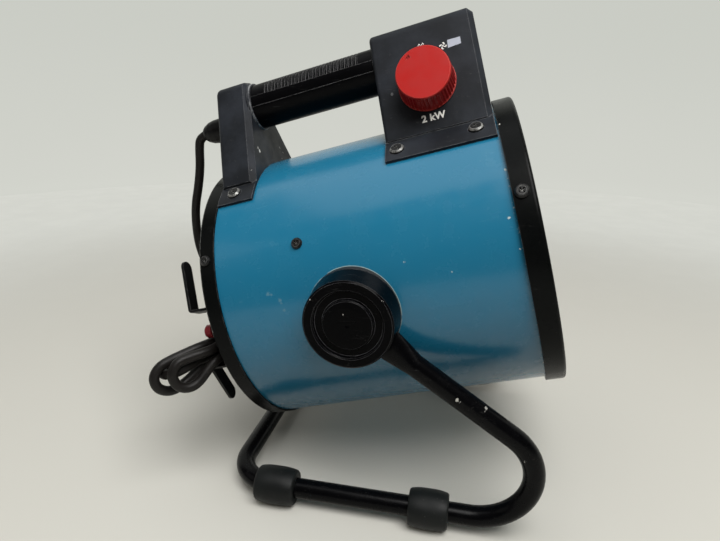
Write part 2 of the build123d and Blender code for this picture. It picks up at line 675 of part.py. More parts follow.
GRIP_AX = Axis(dpt(0, 0, Z_GRIP), dpt(1, 0, Z_GRIP) - dpt(0, 0, Z_GRIP))
for name, up in (("grip_upper", 1), ("grip_lower", -1)):
    with BuildPart() as half:
        with BuildSketch(drum(Plane.YZ.offset(GX0))):
            with Locations((0, Z_GRIP)):
                Circle(R_GRIP if up > 0 else R_GRIP_LOW)
                Circle(8.1, mode=Mode.SUBTRACT)
            with Locations((0, Z_GRIP - up * 19.95)):
                Rectangle(60.0, 40.0, mode=Mode.SUBTRACT)
        extrude(amount=GX1 - GX0)
        # hollow between the two end webs
        with BuildSketch(drum(Plane.YZ.offset(GX0 + 4.0))):
            with Locations((0, Z_GRIP)):
                Circle(R_GRIP - 3.2)
                Circle(9.6, mode=Mode.SUBTRACT)
            with Locations((0, Z_GRIP - up * 18.5)):
                Rectangle(60.0, 40.0, mode=Mode.SUBTRACT)
        extrude(amount=GX1 - GX0 - 8.0, mode=Mode.SUBTRACT)
        if up > 0:
            # fine cross ribs over the top, between two plain side bands
            with BuildSketch(SIDE):
                for k in range(27):
                    with Locations((GX0 + 13.0 + 2.9 * k, Z_GRIP + R_GRIP)):
                        Rectangle(1.3, 1.5)
            revolve(axis=GRIP_AX, mode=Mode.SUBTRACT)
            with BuildSketch(drum(Plane.YZ.offset(GX0))):
                with Locations((0, Z_GRIP)):
                    Circle(R_GRIP + 0.2)
                    Circle(R_GRIP - 1.6, mode=Mode.SUBTRACT)
                with Locations((0, Z_GRIP + 3.9)):
                    Rectangle(60.0, 7.7, mode=Mode.INTERSECT)
            extrude(amount=GX1 - GX0)
    save(half.part, name)

# ------------------------------------------------------------------ rear post
PT = 172.7


def post_outline(grow=0.0):
    with BuildSketch(Plane.XY, mode=Mode.PRIVATE) as o:
        with BuildLine():
            Polyline((-50.5, 98.9), (-10.0, PT), (10.0, PT), (50.5, 98.9), (40.0, 80.0), (-40.0, 80.0), close=True)
        make_face()
        if grow:
            offset(amount=grow, kind=Kind.INTERSECTION)
    return o.sketch


with BuildPart() as rear_post:
    with BuildSketch(drum(Plane.YZ.offset(PX0))):
        add(post_outline())
    extrude(amount=PX1 - PX0)

    def crown2(e):
        x, y, z = to_drum(e.center())
        return abs(abs(y) - 10.0) < 0.5 and z > PT - 1
    fillet(rear_post.edges().filter_by(crown2), 8.0)

    def front_rim(e):
        x, y, z = to_drum(e.center())
        return abs(x - PX1) < 0.1 and z > 100

    def rear_rim(e):
        x, y, z = to_drum(e.center())
        return abs(x - PX0) < 0.1 and z > 100
    chamfer(rear_post.edges().filter_by(front_rim), 4.0)
    fillet(rear_post.edges().filter_by(rear_rim), 4.0)
    with BuildSketch(drum(Plane.YZ.offset(PX0))):
        with BuildLine():
            a0, a1 = radians(53.4), radians(126.6)
            ro, ri = 109.0, 104.0
            CenterArc((0, 0), ro, 53.4, 73.2)
            Line((ro * cos(a1), ro * sin(a1)), (ri * cos(a1), ri * sin(a1)))
            CenterArc((0, 0), ri, 126.6, -73.2)
            Line((ri * cos(a0), ri * sin(a0)), (ro * cos(a0), ro * sin(a0)))
        make_face()
    extrude(amount=PX1 - PX0)
    with BuildSketch(drum(Plane.YZ.offset(PX0 + 3.0))):
        add(post_outline(-3.2))
    extrude(amount=PX1 - PX0 - 6.0, mode=Mode.SUBTRACT)
    # collar round the grip
    with BuildSketch(drum(Plane.YZ.offset(PX1 - 1.0))):
        with Locations((0, Z_GRIP)):
            Circle(18.5)
    extrude(amount=2.4)
    with BuildSketch(drum(Plane.YZ.offset(PX1 - 8.0))):
        with Locations((0, Z_GRIP)):
            Circle(8.1)
    extrude(amount=20.0, mode=Mode.SUBTRACT)
    # gland hole
    with BuildSketch(drum(Plane.YZ.offset(PX0 - 5.0))):
        with Locations((0, 143.0)):
            Circle(6.1)
    extrude(amount=12.0, mode=Mode.SUBTRACT)
    with BuildSketch(drum(Plane.YZ.offset(PX0 - 5))):
        Circle(R_SHELL + 0.05)
    extrude(amount=PX1 - PX0 + 10, mode=Mode.SUBTRACT)
    screw_holes(POST_SCREWS, 113, 1.85, 8)
    for x, deg in POST_SCREWS:
        with BuildSketch(radial(x, deg, 108.75)):
            Circle(5.7)
        extrude(amount=3, mode=Mode.SUBTRACT)
save(rear_post.part, "rear_post")

rear_post_screws = screw_group(POST_SCREWS, 108.77, 5.1, 2.4, 1.75, 5.5)
save(rear_post_screws.part, "rear_post_screws")

# ------------------------------------------------------------------ cable gland
GZ = 143.0
G_AX = Axis(dpt(0, 0, GZ), dpt(1, 0, GZ) - dpt(0, 0, GZ))
with BuildPart() as cable_gland:
    with BuildSketch(SIDE):
        with BuildLine():
            Polyline((-96.4, GZ + 3.85), (-96.4, GZ + 6.0), (-104.7, GZ + 6.0), (-104.7, GZ + 10.2), (-110.0, GZ + 10.2),
                     (-110.6, GZ + 9.8), (-118.0, GZ + 9.6), (-122.6, GZ + 8.7), (-126.6, GZ + 6.9), (-128.93, GZ + 5.0),
                     (-128.93, GZ + 3.85), close=True)
        make_face()
    revolve(axis=G_AX)
save(cable_gland.part, "cable_gland")

with BuildPart() as gland_locknut:
    with BuildSketch(drum(Plane.YZ.offset(PX0 + 3.1))):
        with Locations((0, GZ)):
            RegularPolygon(9.4, 6)
            Circle(6.05, mode=Mode.SUBTRACT)
    extrude(amount=4.0)
save(gland_locknut.part, "gland_locknut")

# ------------------------------------------------------------------ cord hooks
HOOKS = {"upper": (-91.6, 16.7, -74.3, 53.3, -137.4), "lower": (-85.8, -26.8, -72.3, -63.9, -140.2)}
HOOK_W = 10.6
RIVETS = []
for which in ("upper", "lower"):
    cy, cz, ey, ez, xb = HOOKS[which]
    ll = hypot(ey - cy, ez - cz)
    ty, tz = (ey - cy) / ll, (ez - cz) / ll
    with BuildPart() as hooks:
        for ys in (1, -1):
            # profile in (x, along the tip), drawn in the strap's edge plane
            w = Vector(0, ys * tz, -ty)
            pl = drum(Plane(origin=(0, ys * cy, cz), x_dir=(1, 0, 0), z_dir=Vector(1, 0, 0).cross(Vector(0, ys * ty, tz))))
            with BuildPart(mode=Mode.PRIVATE) as strap:
                with BuildSketch(pl) as prof:
                    with BuildLine():
                        Polyline((-118.1, 14.5), (-118.1, 2.0), (xb + 2.0, 2.0), (-139.0, ll), (-141.0, ll), (xb, 0.0),
                                 (-116.1, 0.0), (-116.1, 14.5), close=True)
                    make_face()
                    fillet(prof.vertices().sort_by_distance(Vector(xb, 0.0, 0))[0], 2.6)
                extrude(amount=HOOK_W / 2, both=True)
                # rounded tip
                with BuildSketch(drum(Plane(origin=(-150, ys * cy, cz), x_dir=(0, ys * ty, tz), z_dir=(1, 0, 0)))):
                    with Locations(((ll - HOOK_W / 2) / 2 - 4, 0)):
                        Rectangle(ll - HOOK_W / 2 + 8, HOOK_W)
                    with Locations((ll - HOOK_W / 2, 0)):
                        Circle(HOOK_W / 2)
                extrude(amount=40, mode=Mode.INTERSECT)
                with BuildSketch(drum(Plane(origin=(-125, ys * (cy + 8.5 * ty), cz + 8.5 * tz), x_dir=(0, 1, 0), z_dir=(1, 0, 0)))):
                    Circle(2.05)
                extrude(amount=12, mode=Mode.SUBTRACT)
            add(strap.part)
            RIVETS.append((ys * (cy + 8.5 * ty), cz + 8.5 * tz))
    save(hooks.part, "cord_hooks_" + which)

with BuildPart() as hook_rivets:
    for y, z in RIVETS:
        with BuildSketch(drum(Plane(origin=(-119.4, y, z), x_dir=(0, 1, 0), z_dir=(1, 0, 0)))):
            Circle(3.4)
        extrude(amount=1.25)
        with BuildSketch(drum(Plane(origin=(-118.4, y, z), x_dir=(0, 1, 0), z_dir=(1, 0, 0)))):
            Circle(2.0)
        extrude(amount=5.0)
        with BuildSketch(drum(Plane(origin=(-113.95, y, z), x_dir=(0, 1, 0), z_dir=(1, 0, 0)))):
            Circle(3.2)
        extrude(amount=0.9)
save(hook_rivets.part, "hook_rivets")

# ------------------------------------------------------------------ reset button
BY, BZ = -86.0, -1.0
B_AX = Axis(dpt(0, BY, BZ), dpt(1, BY, BZ) - dpt(0, BY, BZ))
BPL = drum(Plane(origin=(0, BY, BZ), x_dir=(1, 0, 0), z_dir=(0, -1, 0)))
with BuildPart() as cutout_holder:
    with BuildSketch(BPL):
        with BuildLine():
            Polyline((-104.0, 0), (-104.0, 9.0), (-113.9, 9.0), (-113.9, 5.5), (-116.1, 5.5), (-116.1, 7.6), (-118.6, 7.6),
                     (-118.6, 4.7), (-126.4, 4.7), (-126.4, 2.58), (-112.0, 2.58), (-112.0, 0), close=True)
        make_face()
    revolve(axis=B_AX)
save(cutout_holder.part, "cutout_holder")

with BuildPart() as reset_button:
    with BuildSketch(BPL):
        with BuildLine():
            Polyline((-115.0, 0), (-115.0, 2.5), (-129.0, 2.5), (-129.0, 5.2), (-133.2, 5.2), (-134.4, 4.3), (-134.8, 2.6),
                     (-134.8, 0), close=True)
        make_face()
    revolve(axis=B_AX)
save(reset_button.part, "reset_button")

# ================================================================== mains cord
# Free lead, from the gland down behind the drum to the hank on the lower hooks
HZ = -16.3             # middle height of the hank, drum frame
HTOP = HZ + 8.0
PLX, PLZ = -134.5, HTOP + 15.7
LEAD = [(-128.5, 0, 143.0), (-135.2, 0, 141.8), (-138.8, 0, 134.0), (-143.2, 0, 120.0), (-150.8, 0, 104.0),
        (-160.0, 0, 88.0), (-166.0, 0, 70.0), (-168.2, -2, 52.0), (-162.0, -10, 37.0), (-147.5, -21, 26.0),
        (-128.5, -34, 12.5), (-128.5, -34, HTOP)]
PLUG_LEAD = [(PLX, 14.0, PLZ), (PLX, 1.0, PLZ), (-135.5, -13.0, 2.6), (-137.5, -28.0, -6.0), (-138.0, -43.0, -12.5)]


def cord_tube(points, what):
    pts = [Vector(*dpt(*p)) for p in points]
    runs = [(pts[i + 1] - pts[i]).length for i in range(len(pts) - 1)]
    radii = []
    for i in range(1, len(pts) - 1):
        turn = (pts[i] - pts[i - 1]).get_angle(pts[i + 1] - pts[i])
        radii.append(0.45 * min(runs[i - 1], runs[i]) / tan(radians(turn / 2)))
    print(what, "radii", [round(r, 1) for r in radii], "runs", [round(r, 1) for r in runs])
    with BuildPart() as tube:
        with BuildLine() as route:
            FilletPolyline(*pts, radius=radii)
        with BuildSketch(Plane(origin=pts[0], z_dir=pts[1] - pts[0])):
            Circle(D_CORD / 2)
        sweep(path=route.wire())
    length = route.wire().length
    print(what, "length", round(length, 1), "volume ratio", round(tube.part.volume / (length * 3.14159265 * D_CORD ** 2 / 4), 4))
    return tube


mains_cord = cord_tube(LEAD, "mains_cord")
save(mains_cord.part, "mains_cord")
plug_lead = cord_tube(PLUG_LEAD, "plug_lead")
save(plug_lead.part, "plug_lead")

# The hank: one long bundle over both lower hooks, with wide end loops at the far end and
# upright end loops that droop outwards at the near end
with BuildPart() as cord_hank:
    for c, d, w, h in (((-149.0, 126.0, HZ), (0, -1, 0), 16.0, 8.0),
                       ((-148.0, 115.0, HZ), (0, -1, 0), 48.0, 15.0),
                       ((-147.5, 102.0, HZ), (0, -1, 0), 53.0, 15.6),
                       ((-140.5, 84.0, HZ), (0, -1, 0), 39.0, 16.0),
                       ((-132.0, 62.0, HZ), (0, -1, 0), 24.0, 16.0),
                       ((-132.0, -62.0, HZ), (0, -1, 0), 24.0, 16.0),
                       ((-135.6, -88.0, HZ), (-0.40, -0.91, 0), 24.0, 16.0),
                       ((-141.0, -92.5, -16.8), (-0.62, -0.78, 0), 27.0, 18.0),
                       ((-149.3, -99.8, -20.3), (-0.722, -0.692, 0), 29.0, 30.0),
                       ((-160.3, -110.2, -21.5), (-0.722, -0.692, 0), 29.0, 31.0),
                       ((-166.4, -117.5, -22.0), (-0.722, -0.692, 0), 12.0, 24.0),
                       ((-169.4, -120.3, -22.0), (-0.722, -0.692, 0), 8.0, 16.0)):
        dd = Vector(*d)
        with BuildSketch(drum(Plane(origin=c, x_dir=dd.cross(Vector(0, 0, 1)), z_dir=dd))):
            RectangleRounded(w, h, 3.6)
    loft(ruled=True)
save(cord_hank.part, "cord_hank")

with BuildPart() as cord_tie:
    with BuildSketch(drum(Plane(origin=(0, 48.0, 0), x_dir=(1, 0, 0), z_dir=(0, -1, 0)))):
        with Locations((PLX, (HZ - 8.0 + PLZ + 15.7) / 2)):
            RectangleRounded(33.6, PLZ - HZ + 25.9, 3.4)
            RectangleRounded(31.6, PLZ - HZ + 23.9, 2.4, mode=Mode.SUBTRACT)
    extrude(amount=14.0)
save(cord_tie.part, "cord_tie")

# Plug with two round pins, lying on the hank
PL_AX = Axis(dpt(PLX, 0, PLZ), dpt(PLX, 1, PLZ) - dpt(PLX, 0, PLZ))
with BuildPart() as mains_plug:
    with BuildSketch(drum(Plane(origin=(PLX, 0, PLZ), x_dir=(0, 1, 0), z_dir=(1, 0, 0)))):
        with BuildLine():
            Polyline((14.0, 0), (14.0, 5.0), (28.0, 7.4), (34.0, 10.0), (44.0, 13.4), (56.0, 15.2), (70.0, 15.6),
                     (72.0, 15.0), (72.0, 0), close=True)
        make_face()
    revolve(axis=PL_AX)
    with BuildSketch(drum(Plane(origin=(PLX, 72.0, PLZ), x_dir=(1, 0, 0), z_dir=(0, 1, 0)))):
        with Locations((-9.5, 0), (9.5, 0)):
            Circle(2.4)
    extrude(amount=19.0)
save(mains_plug.part, "mains_plug")
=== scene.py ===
import json
import math
import random

import bpy
import bmesh
from mathutils import Matrix, Vector


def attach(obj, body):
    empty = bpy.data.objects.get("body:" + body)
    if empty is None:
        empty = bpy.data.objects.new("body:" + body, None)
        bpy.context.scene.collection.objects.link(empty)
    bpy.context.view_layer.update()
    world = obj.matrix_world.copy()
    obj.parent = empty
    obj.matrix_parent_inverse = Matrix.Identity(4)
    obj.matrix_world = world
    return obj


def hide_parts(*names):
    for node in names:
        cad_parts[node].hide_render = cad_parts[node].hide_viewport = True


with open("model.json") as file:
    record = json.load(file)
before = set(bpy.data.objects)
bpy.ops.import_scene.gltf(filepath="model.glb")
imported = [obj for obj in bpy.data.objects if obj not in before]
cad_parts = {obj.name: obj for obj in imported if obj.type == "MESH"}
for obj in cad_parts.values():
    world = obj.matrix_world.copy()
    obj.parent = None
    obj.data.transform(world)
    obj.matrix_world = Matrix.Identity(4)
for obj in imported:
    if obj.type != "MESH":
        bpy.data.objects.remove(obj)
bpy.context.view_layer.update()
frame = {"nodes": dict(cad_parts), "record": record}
NODES = frame["nodes"]
scene = bpy.context.scene
random.seed(11)

# ---------------------------------------------------------------- the drum's own frame, mm
TILT = math.radians(15.8)
CT, ST = math.cos(TILT), math.sin(TILT)
X_PIV, H_PIV, XP = 0.75, 164.0, -10.8


def D(a, b, c):
    """A point of the drum's frame (mm) in the row frame (m)."""
    a -= XP
    return Vector((X_PIV + a * CT - c * ST, b, H_PIV + a * ST + c * CT)) * 0.001


def DV(a, b, c):
    """A direction of the drum's frame in the row frame."""
    return Vector((a * CT - c * ST, b, a * ST + c * CT))


# ---------------------------------------------------------------- camera
cam_data = bpy.data.cameras.new("camera")
cam = bpy.data.objects.new("camera", cam_data)
scene.collection.objects.link(cam)
right = Vector((0.9788185, 0.204175, 0.015064)).normalized()
up = Vector((-0.0763963, 0.2959971, 0.9521288))
back = right.cross(up).normalized()
up = back.cross(right).normalized()
cam.matrix_world = Matrix((
    (right.x, up.x, back.x, 0.071002),
    (right.y, up.y, back.y, -0.433979),
    (right.z, up.z, back.z, 0.301885),
    (0, 0, 0, 1)))
cam_data.lens = 27.0495
cam_data.sensor_width = 36.0
cam_data.clip_start = 0.01
cam_data.clip_end = 50.0
scene.camera = cam

# ---------------------------------------------------------------- mains cord
D_CORD = 0.0075
# free lead from the gland, down behind the drum to the hank; then the strands and folds of the
# hank over the two lower hooks; then up into the plug on top of it (drum frame, mm)
CORD = [
    (-128.5, 0, 143), (-135.2, 0, 141.8), (-138.8, 0, 134), (-143.2, 0, 120), (-150.8, 0, 104), (-160, 0, 88),
    (-166, 0, 70), (-168.2, -2, 52), (-162, -10, 37), (-149.5, -21, 25), (-137.5, -34, 13), (-131, -49, 0),
    (-129.5, -64, -8.2), (-132.5, -80, -11.3), (-139.6, -91.8, -9.6), (-148.6, -100.5, -9.8), (-156.2, -107.7, -10.2), (-163.5, -114.7, -11.4),
    (-168.8, -119.3, -18), (-168.7, -118.5, -27.4), (-163.6, -112.8, -33.4), (-157.3, -105.8, -32.6), (-150.9, -98, -29.4), (-144.5, -89.6, -24.2),
    (-139.6, -80, -20.6), (-139.8, -50, -20.2), (-138.6, -15, -20), (-137.4, 15, -20.2), (-137, 42, -20.1), (-138.2, 62, -20.2),
    (-145.5, 76, -20.6), (-159, 86, -21), (-171.5, 97, -21.6), (-171, 114, -21.8), (-154, 125, -21.6), (-135.5, 122, -21),
    (-126, 107, -20.4), (-124.6, 88, -20.1), (-125.4, 66, -20.2), (-127, 42, -20.1), (-126, 14, -20.2), (-124.8, -18, -20.1),
    (-124.2, -48, -20.2), (-124, -72, -20.4), (-128.9, -93.5, -20.8), (-134, -99.8, -24.4), (-141.8, -108.3, -32.2), (-148, -114.8, -32.2),
    (-152.4, -119.3, -25.9), (-152.4, -119.3, -16.9), (-148, -114.8, -10.6), (-141.6, -108.5, -10.6), (-135, -101.6, -11.6), (-128.6, -93.2, -12.8),
    (-124.4, -72, -12.9), (-124.2, -46, -12.5), (-125, -16, -12.4), (-126.6, 16, -12.5), (-127.2, 42, -12.5), (-125.6, 64, -12.5),
    (-125.2, 84, -12.5), (-127.4, 102, -12.7), (-134.5, 116, -13.2), (-149, 121, -13.9), (-165, 115.5, -14.2), (-168.5, 101, -14),
    (-160.5, 89, -13.4), (-147.5, 78, -12.9), (-139.2, 62, -12.6), (-137.2, 40, -12.5), (-138, 12, -12.4), (-139.6, -18, -12.5),
    (-140.2, -48, -12.5), (-139.8, -72, -13), (-143.7, -83.9, -14.4), (-153, -87.2, -16.8), (-163.2, -91.3, -18.4), (-169.5, -97.4, -19.2),
    (-169.7, -106.3, -19.6), (-163.6, -112.7, -19.6), (-154.7, -112.8, -19.4), (-148.4, -106.8, -18.8), (-142.9, -97.7, -18.2), (-138, -89.8, -18.8),
    (-132.2, -76, -20.2), (-131.8, -60, -19.8), (-132.2, -45, -14), (-133.6, -30, -5.2), (-134.5, -15, 3.6), (-134.5, -3, 7.4),
    (-134.5, 14, 7.4),
]
curve = bpy.data.curves.new("mains_lead", "CURVE")
curve.dimensions = "3D"
spline = curve.splines.new("NURBS")
spline.points.add(len(CORD) - 1)
for point, p in zip(spline.points, CORD):
    point.co = (*D(*p), 1.0)
spline.order_u = 3
spline.use_endpoint_u = True
spline.resolution_u = 10
curve.bevel_depth = D_CORD / 2
curve.bevel_resolution = 6
curve.use_fill_caps = True
mains_lead = bpy.data.objects.new("mains_lead", curve)
scene.collection.objects.link(mains_lead)


# ---------------------------------------------------------------- shader helper
def lin(r, g, b):
    """A screen colour, 0 to 255, as the linear values a shader takes."""
    f = lambda v: v / 12.92 if v <= 0.04045 else ((v + 0.055) / 1.055) ** 2.4
    return (f(r / 255), f(g / 255), f(b / 255), 1.0)


class Shader:
    """A material built from nodes; a float or a node output goes in anywhere."""

    def __init__(self, name):
        self.mat = bpy.data.materials.new(name)
        self.mat.use_nodes = True
        self.tree = self.mat.node_tree
        self.tree.nodes.clear()
        self.bsdf = self.tree.nodes.new("ShaderNodeBsdfPrincipled")
        out = self.tree.nodes.new("ShaderNodeOutputMaterial")
        self.tree.links.new(self.bsdf.outputs[0], out.inputs[0])
        self.obj = self.tree.nodes.new("ShaderNodeTexCoord").outputs["Object"]

    def put(self, sock, v):
        if isinstance(v, bpy.types.NodeSocket):
            self.tree.links.new(v, sock)
        elif v is not None:
            sock.default_value = v

    def set(self, **kw):
        for k, v in kw.items():
            self.put(self.bsdf.inputs[k.replace("_", " ")], v)
        return self

    def math(self, op, a, b=None, c=None, clamp=False):
        n = self.tree.nodes.new("ShaderNodeMath")
        n.operation, n.use_clamp = op, clamp
        for i, v in enumerate((a, b, c)):
            self.put(n.inputs[i], v)
        return n.outputs[0]

    def vec(self, op, a, b=None, scale=None):
        n = self.tree.nodes.new("ShaderNodeVectorMath")
        n.operation = op
        self.put(n.inputs[0], a)
        self.put(n.inputs[1], b)
        if scale is not None:
            self.put(n.inputs["Scale"], scale)
        return n.outputs["Value" if op in ("LENGTH", "DISTANCE", "DOT_PRODUCT") else "Vector"]

    def place(self, v, loc=(0, 0, 0), rot=(0, 0, 0), scale=(1, 1, 1)):
        n = self.tree.nodes.new("ShaderNodeMapping")
        self.put(n.inputs["Vector"], v)
        n.inputs["Location"].default_value = loc
        n.inputs["Rotation"].default_value = rot
        n.inputs["Scale"].default_value = scale
        return n.outputs[0]

    def drum(self):
        """Object coordinates turned into the drum's frame, in metres."""
        o = Matrix.Rotation(TILT, 3, "Y") @ Vector((X_PIV * 0.001, 0, H_PIV * 0.001))
        return self.place(self.obj, loc=(XP * 0.001 - o.x, -o.y, -o.z), rot=(0, TILT, 0))

    def split(self, v):
        n = self.tree.nodes.new("ShaderNodeSeparateXYZ")
        self.put(n.inputs[0], v)
        return n.outputs[0], n.outputs[1], n.outputs[2]

    def noise(self, scale, detail=3.0, rough=0.5, warp=0.0, at=None, colour=False, seed=None):
        n = self.tree.nodes.new("ShaderNodeTexNoise")
        if seed is not None:
            n.noise_dimensions = "4D"
            n.inputs["W"].default_value = seed
        self.put(n.inputs["Vector"], self.obj if at is None else at)
        n.inputs["Scale"].default_value = scale
        n.inputs["Detail"].default_value = detail
        n.inputs["Roughness"].default_value = rough
        n.inputs["Distortion"].default_value = warp
        return n.outputs["Color" if colour else 0]

    def cells(self, scale, feature="F1", at=None, colour=False, jitter=1.0):
        n = self.tree.nodes.new("ShaderNodeTexVoronoi")
        n.feature = feature
        self.put(n.inputs["Vector"], self.obj if at is None else at)
        n.inputs["Scale"].default_value = scale
        n.inputs["Randomness"].default_value = jitter
        return n.outputs["Color" if colour else "Distance"]

    def span(self, x, a, b, c=0.0, d=1.0, smooth=True):
        n = self.tree.nodes.new("ShaderNodeMapRange")
        n.interpolation_type = "SMOOTHSTEP" if smooth else "LINEAR"
        self.put(n.inputs["Value"], x)
        for k, v in zip(("From Min", "From Max", "To Min", "To Max"), (a, b, c, d)):
            self.put(n.inputs[k], v)
        return n.outputs[0]

    def mix(self, f, a, b):
        n = self.tree.nodes.new("ShaderNodeMix")
        n.data_type = "RGBA"
        self.put(n.inputs[0], f)
        self.put(n.inputs[6], a)
        self.put(n.inputs[7], b)
        return n.outputs[2]

    def mul(self, a, b):
        return self.math("MULTIPLY", a, b)

    def add(self, a, b):
        return self.math("ADD", a, b)

    def most(self, *a):
        v = a[0]
        for x in a[1:]:
            v = self.math("MAXIMUM", v, x)
        return v

    def edge(self, radius, lo=0.02, hi=0.2, samples=5):
        """How far the surface turns within that radius: 1 on an edge."""
        n = self.tree.nodes.new("ShaderNodeBevel")
        n.samples = samples
        n.inputs["Radius"].default_value = radius
        g = self.tree.nodes.new("ShaderNodeNewGeometry")
        d = self.vec("DOT_PRODUCT", n.outputs[0], g.outputs["Normal"])
        return self.span(self.math("SUBTRACT", 1.0, d), lo, hi)

    def bump(self, height, strength, distance, normal=None):
        n = self.tree.nodes.new("ShaderNodeBump")
        n.inputs["Strength"].default_value = strength
        n.inputs["Distance"].default_value = distance
        self.put(n.inputs["Height"], height)
        if normal is not None:
            self.put(n.inputs["Normal"], normal)
        return n.outputs[0]

    def round(self, radius, samples=5):
        n = self.tree.nodes.new("ShaderNodeBevel")
        n.samples = samples
        n.inputs["Radius"].default_value = radius
        return n.outputs[0]

    def spot(self, centre, radius, warp=0.0007, soft=0.35, scale=900.0):
        """A ragged spot at a point of the row frame."""
        w = self.vec("SCALE", self.vec("SUBTRACT", self.noise(scale, 2.0, colour=True), (0.5, 0.5, 0.5)), scale=warp * 4)
        d = self.vec("DISTANCE", self.vec("ADD", self.obj, w), tuple(centre))
        return self.span(d, radius * (1 - soft), radius, 1.0, 0.0)

    def scratches(self, at, scale, stretch, angle, keep, width=0.012, seed=0.0):
        """Sparse fine lines that run one way."""
        p = self.place(at, loc=(seed, seed * 1.7, seed * 0.6), rot=angle, scale=(scale, scale * stretch, scale * stretch))
        n = self.noise(1.0, 1.0, 0.4, 0.25, at=p)
        line = self.span(self.math("ABSOLUTE", self.math("SUBTRACT", n, 0.5)), 0.0, width, 1.0, 0.0)
        q = self.place(at, loc=(seed * 2.3, seed, seed), rot=angle, scale=(scale * 2.2, scale * 9, scale * 9))
        return self.mul(line, self.span(self.noise(1.0, 2.0, at=q), keep, keep + 0.06))


# ---------------------------------------------------------------- materials
def m_blue():
    s = Shader("blue_enamel")
    p = s.drum()
    a, b, c = s.split(p)
    base = s.mix(s.noise(7.0, 3.0, at=p), lin(22, 107, 142), lin(28, 116, 151))
    base = s.mix(s.mul(s.noise(1400.0, 1.0, at=p), 0.08), base, lin(70, 150, 176))
    # hair scratches and rub marks
    h = s.most(
        s.scratches(p, 26.0, 26.0, (0.3, 0.5, 0.2), 0.64, 0.008, 1.3),
        s.scratches(p, 22.0, 30.0, (1.1, 0.2, 1.3), 0.66, 0.007, 4.7),
        s.scratches(p, 34.0, 20.0, (0.7, 1.4, 0.8), 0.69, 0.008, 7.9))
    rub = s.span(s.noise(38.0, 4.0, 0.65, at=p), 0.60, 0.78)
    base = s.mix(s.mul(h, 0.22), base, lin(100, 158, 178))
    base = s.mix(s.mul(rub, 0.08), base, lin(110, 158, 172))
    # a dull rub on the side of the drum, behind the hub
    w = s.vec("MULTIPLY", s.vec("SUBTRACT", p, (-0.0570, -0.0975, -0.0080)), (1.0, 1.0, 1.7))
    dull = s.mul(s.span(s.vec("LENGTH", w), 0.004, 0.014, 1.0, 0.0), s.span(s.noise(260.0, 4.0, 0.7, at=p), 0.50, 0.66))
    base = s.mix(s.mul(dull, 0.16), base, lin(120, 156, 166))
    # paint worn along the edges of the ring and the flanges, and a thin light ring on the drum round the foot of each
    # hub cap
    n1 = s.noise(420.0, 3.0, 0.7, at=p)
    ring = s.mul(s.span(a, 0.1014, 0.1031), s.span(n1, 0.60, 0.66))
    piv = s.vec("LENGTH", s.vec("MULTIPLY", s.vec("SUBTRACT", p, (XP * 0.001, 0, 0)), (1, 0, 1)))
    hub = s.mul(s.span(piv, 0.0321, 0.0325, 1.0, 0.0), s.span(s.noise(90.0, 3.0, at=p), 0.30, 0.50))
    hub = s.mul(hub, s.span(s.math("ABSOLUTE", b), 0.09, 0.095))
    chip = s.most(s.mul(ring, 0.9), *[s.spot(q, r, 0.0005) for q, r in DRUM_CHIPS])
    marks = s.most(*[s.spot(q, r, 0.0006, 0.6) for q, r in DRUM_RUBS])
    base = s.mix(s.mul(marks, 0.28), base, lin(150, 178, 182))
    base = s.mix(s.mul(hub, 0.85), base, lin(180, 200, 196))
    base = s.mix(chip, base, lin(190, 198, 196))
    rough = s.span(s.noise(60.0, 4.0, 0.6, at=p), 0.3, 0.7, 0.22, 0.29)
    rough = s.add(s.add(rough, s.mul(s.most(rub, dull), 0.08)), s.mul(s.most(h, chip), 0.15))
    peel = s.noise(520.0, 2.0, 0.5, at=p)
    height = s.math("SUBTRACT", s.mul(peel, 0.5), s.mul(s.most(s.mul(h, 0.5), chip), 1.0))
    s.set(Base_Color=base, Roughness=rough, Normal=s.bump(height, 0.08, 0.0002, s.round(0.0006, 4)))
    s.bsdf.inputs["Specular IOR Level"].default_value = 0.5
    s.bsdf.inputs["Coat Weight"].default_value = 0.25
    s.bsdf.inputs["Coat Roughness"].default_value = 0.12
    return s.mat


